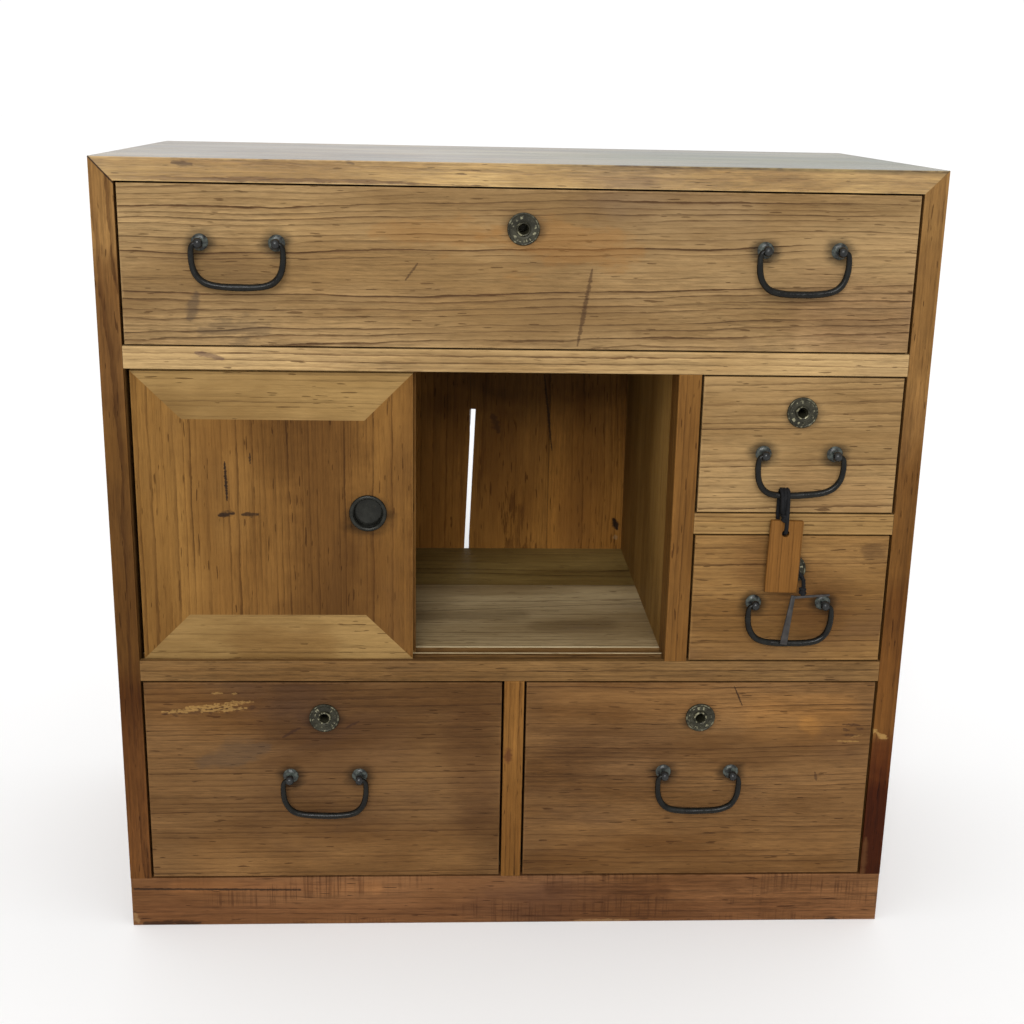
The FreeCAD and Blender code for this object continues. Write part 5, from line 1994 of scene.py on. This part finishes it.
    def build_knots(self) -> bpy.types.Object:
        """Ties one knot of three turns and copies it to each end and to the waist of the cord.

        Returns:
            The knots.
        """
        wide, thick = (v * MM for v in self.knot_ring)
        turns = []
        for n, (tilt, spin, rise) in enumerate(self.knot_turns):
            Bench.clear()
            bpy.ops.mesh.primitive_torus_add(
                major_segments=28, minor_segments=12, major_radius=wide, minor_radius=thick,
                location=(0, 0, rise * MM), rotation=(tilt, tilt / 2, spin),
            )
            turns.append(Bench.named(f"knot_turn_{n}"))
        knot = Bench.join("knot_pattern", turns)
        Bench.uneven(knot, *self.knot_dents)
        copies = [Bench.copy(knot, f"knot_{n}", self.spot(place)) for n, place in enumerate(self.knots)]
        Bench.drop(knot)
        knots = Bench.join("key_cord_knots", [*copies, self.wrap()])
        Bench.smooth(knots, 60)
        return knots

    def wrap(self) -> bpy.types.Object:
        """Winds one more turn round the bar, between the other two: a ring drawn down to the waist.

        Returns:
            The turn.
        """
        Bench.clear()
        bpy.ops.mesh.primitive_torus_add(
            major_segments=40, minor_segments=14, major_radius=self.bar_ring * MM,
            minor_radius=self.cord_radius * self.bar_ring_share * MM, rotation=(0, math.pi / 2, 0),
        )
        turn = Bench.named("cord_turn")
        waist = (0, 0, -self.waist_drop * MM)
        with Bench.editing(turn):
            Bench.pick_faces(turn, lambda middle, normal: middle.z < 0)
            bpy.ops.transform.translate(value=waist)
            bpy.ops.transform.resize(value=(1, self.waist_share, 1), center_override=waist)
        placed = Bench.copy(turn, "cord_turn_placed", self.spot((0, 0, 0)))
        Bench.drop(turn)
        return placed

    def build_tag(self) -> bpy.types.Object:
        """Planes the tag, bores its hole and hangs it a little askew.

        Returns:
            The tag.
        """
        hole = self.spot(self.tag_hole)
        low = hole + Vector(self.tag_corner) * MM
        tag = Bench.cube("key_tag_planed", low, low + Vector(self.tag) * MM)
        Bench.bevel(tag, self.tag_bevel, segments=3)
        Bench.bore(tag, hole, self.tag_bore * MM, "Y")
        with Bench.editing(tag):
            Bench.lean(-math.radians(self.tag_lean), hole)
        Bench.smooth(tag, 30)
        wood = WoodFinish(TAG_TONE, Cut.UPRIGHT_FRONT, 31.0, (-0.06, -0.012, 0.0), arris=0.0009)
        low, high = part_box("key_tag")
        return finish(tag, "key_set", wood.material("key_tag_wood", low, high), ["key_tag"])

    def build_key(self) -> bpy.types.Object:
        """Forges the key: a flat blade that widens to its foot, and a level arm at its head.

        Returns:
            The key.
        """
        seat = self.spot(self.route[-1]) + Vector((-self.hang, self.arm[1] / 2, 0)) * MM
        long, thick = (v * MM for v in self.arm)
        deep, head, foot = (v * MM for v in self.blade)
        end = seat + Vector((0, -thick / 2, -deep))
        blade = Bench.cube(
            "key_blade", seat + Vector((-head / 2, -thick, -deep)), seat + Vector((head / 2, 0, 0))
        )
        with Bench.editing(blade):
            Bench.pick_faces(blade, lambda middle, normal: normal.z < -0.9)
            bpy.ops.transform.resize(value=(foot / head, self.foot_thinning, 1), center_override=end)
            bpy.ops.mesh.select_all(action="SELECT")
            Bench.lean(-math.radians(self.blade_lean), seat)
        arm = Bench.cube(
            "key_arm", seat + Vector((-head / 2, -thick, -thick)), seat + Vector((long - head / 2, 0, 0))
        )
        with Bench.editing(arm):
            Bench.pick_faces(arm, lambda middle, normal: normal.x > 0.9)
            bpy.ops.transform.resize(value=(1, *self.arm_taper))
            bpy.ops.mesh.select_all(action="SELECT")
            Bench.lean(math.radians(self.arm_lean), seat + Vector((self.hang * MM, 0, 0)))
        key = Bench.join("key_forged", [blade, arm])
        Bench.bevel(key, self.key_bevel)
        Bench.smooth(key, 40)
        return finish(key, "key_set", KEY_IRON.material(), ["key"])


def main() -> None:
    """Builds the studio and the chest's looks in order."""
    logging.basicConfig(level=logging.INFO, format="%(name)s: %(message)s")
    Studio().build()
    KeySet().build()
    Woodwork().build()
    Bails().build()
    Posts().build()
    Locks().build()
    FingerPulls().build()


if __name__ == "__main__":
    main()
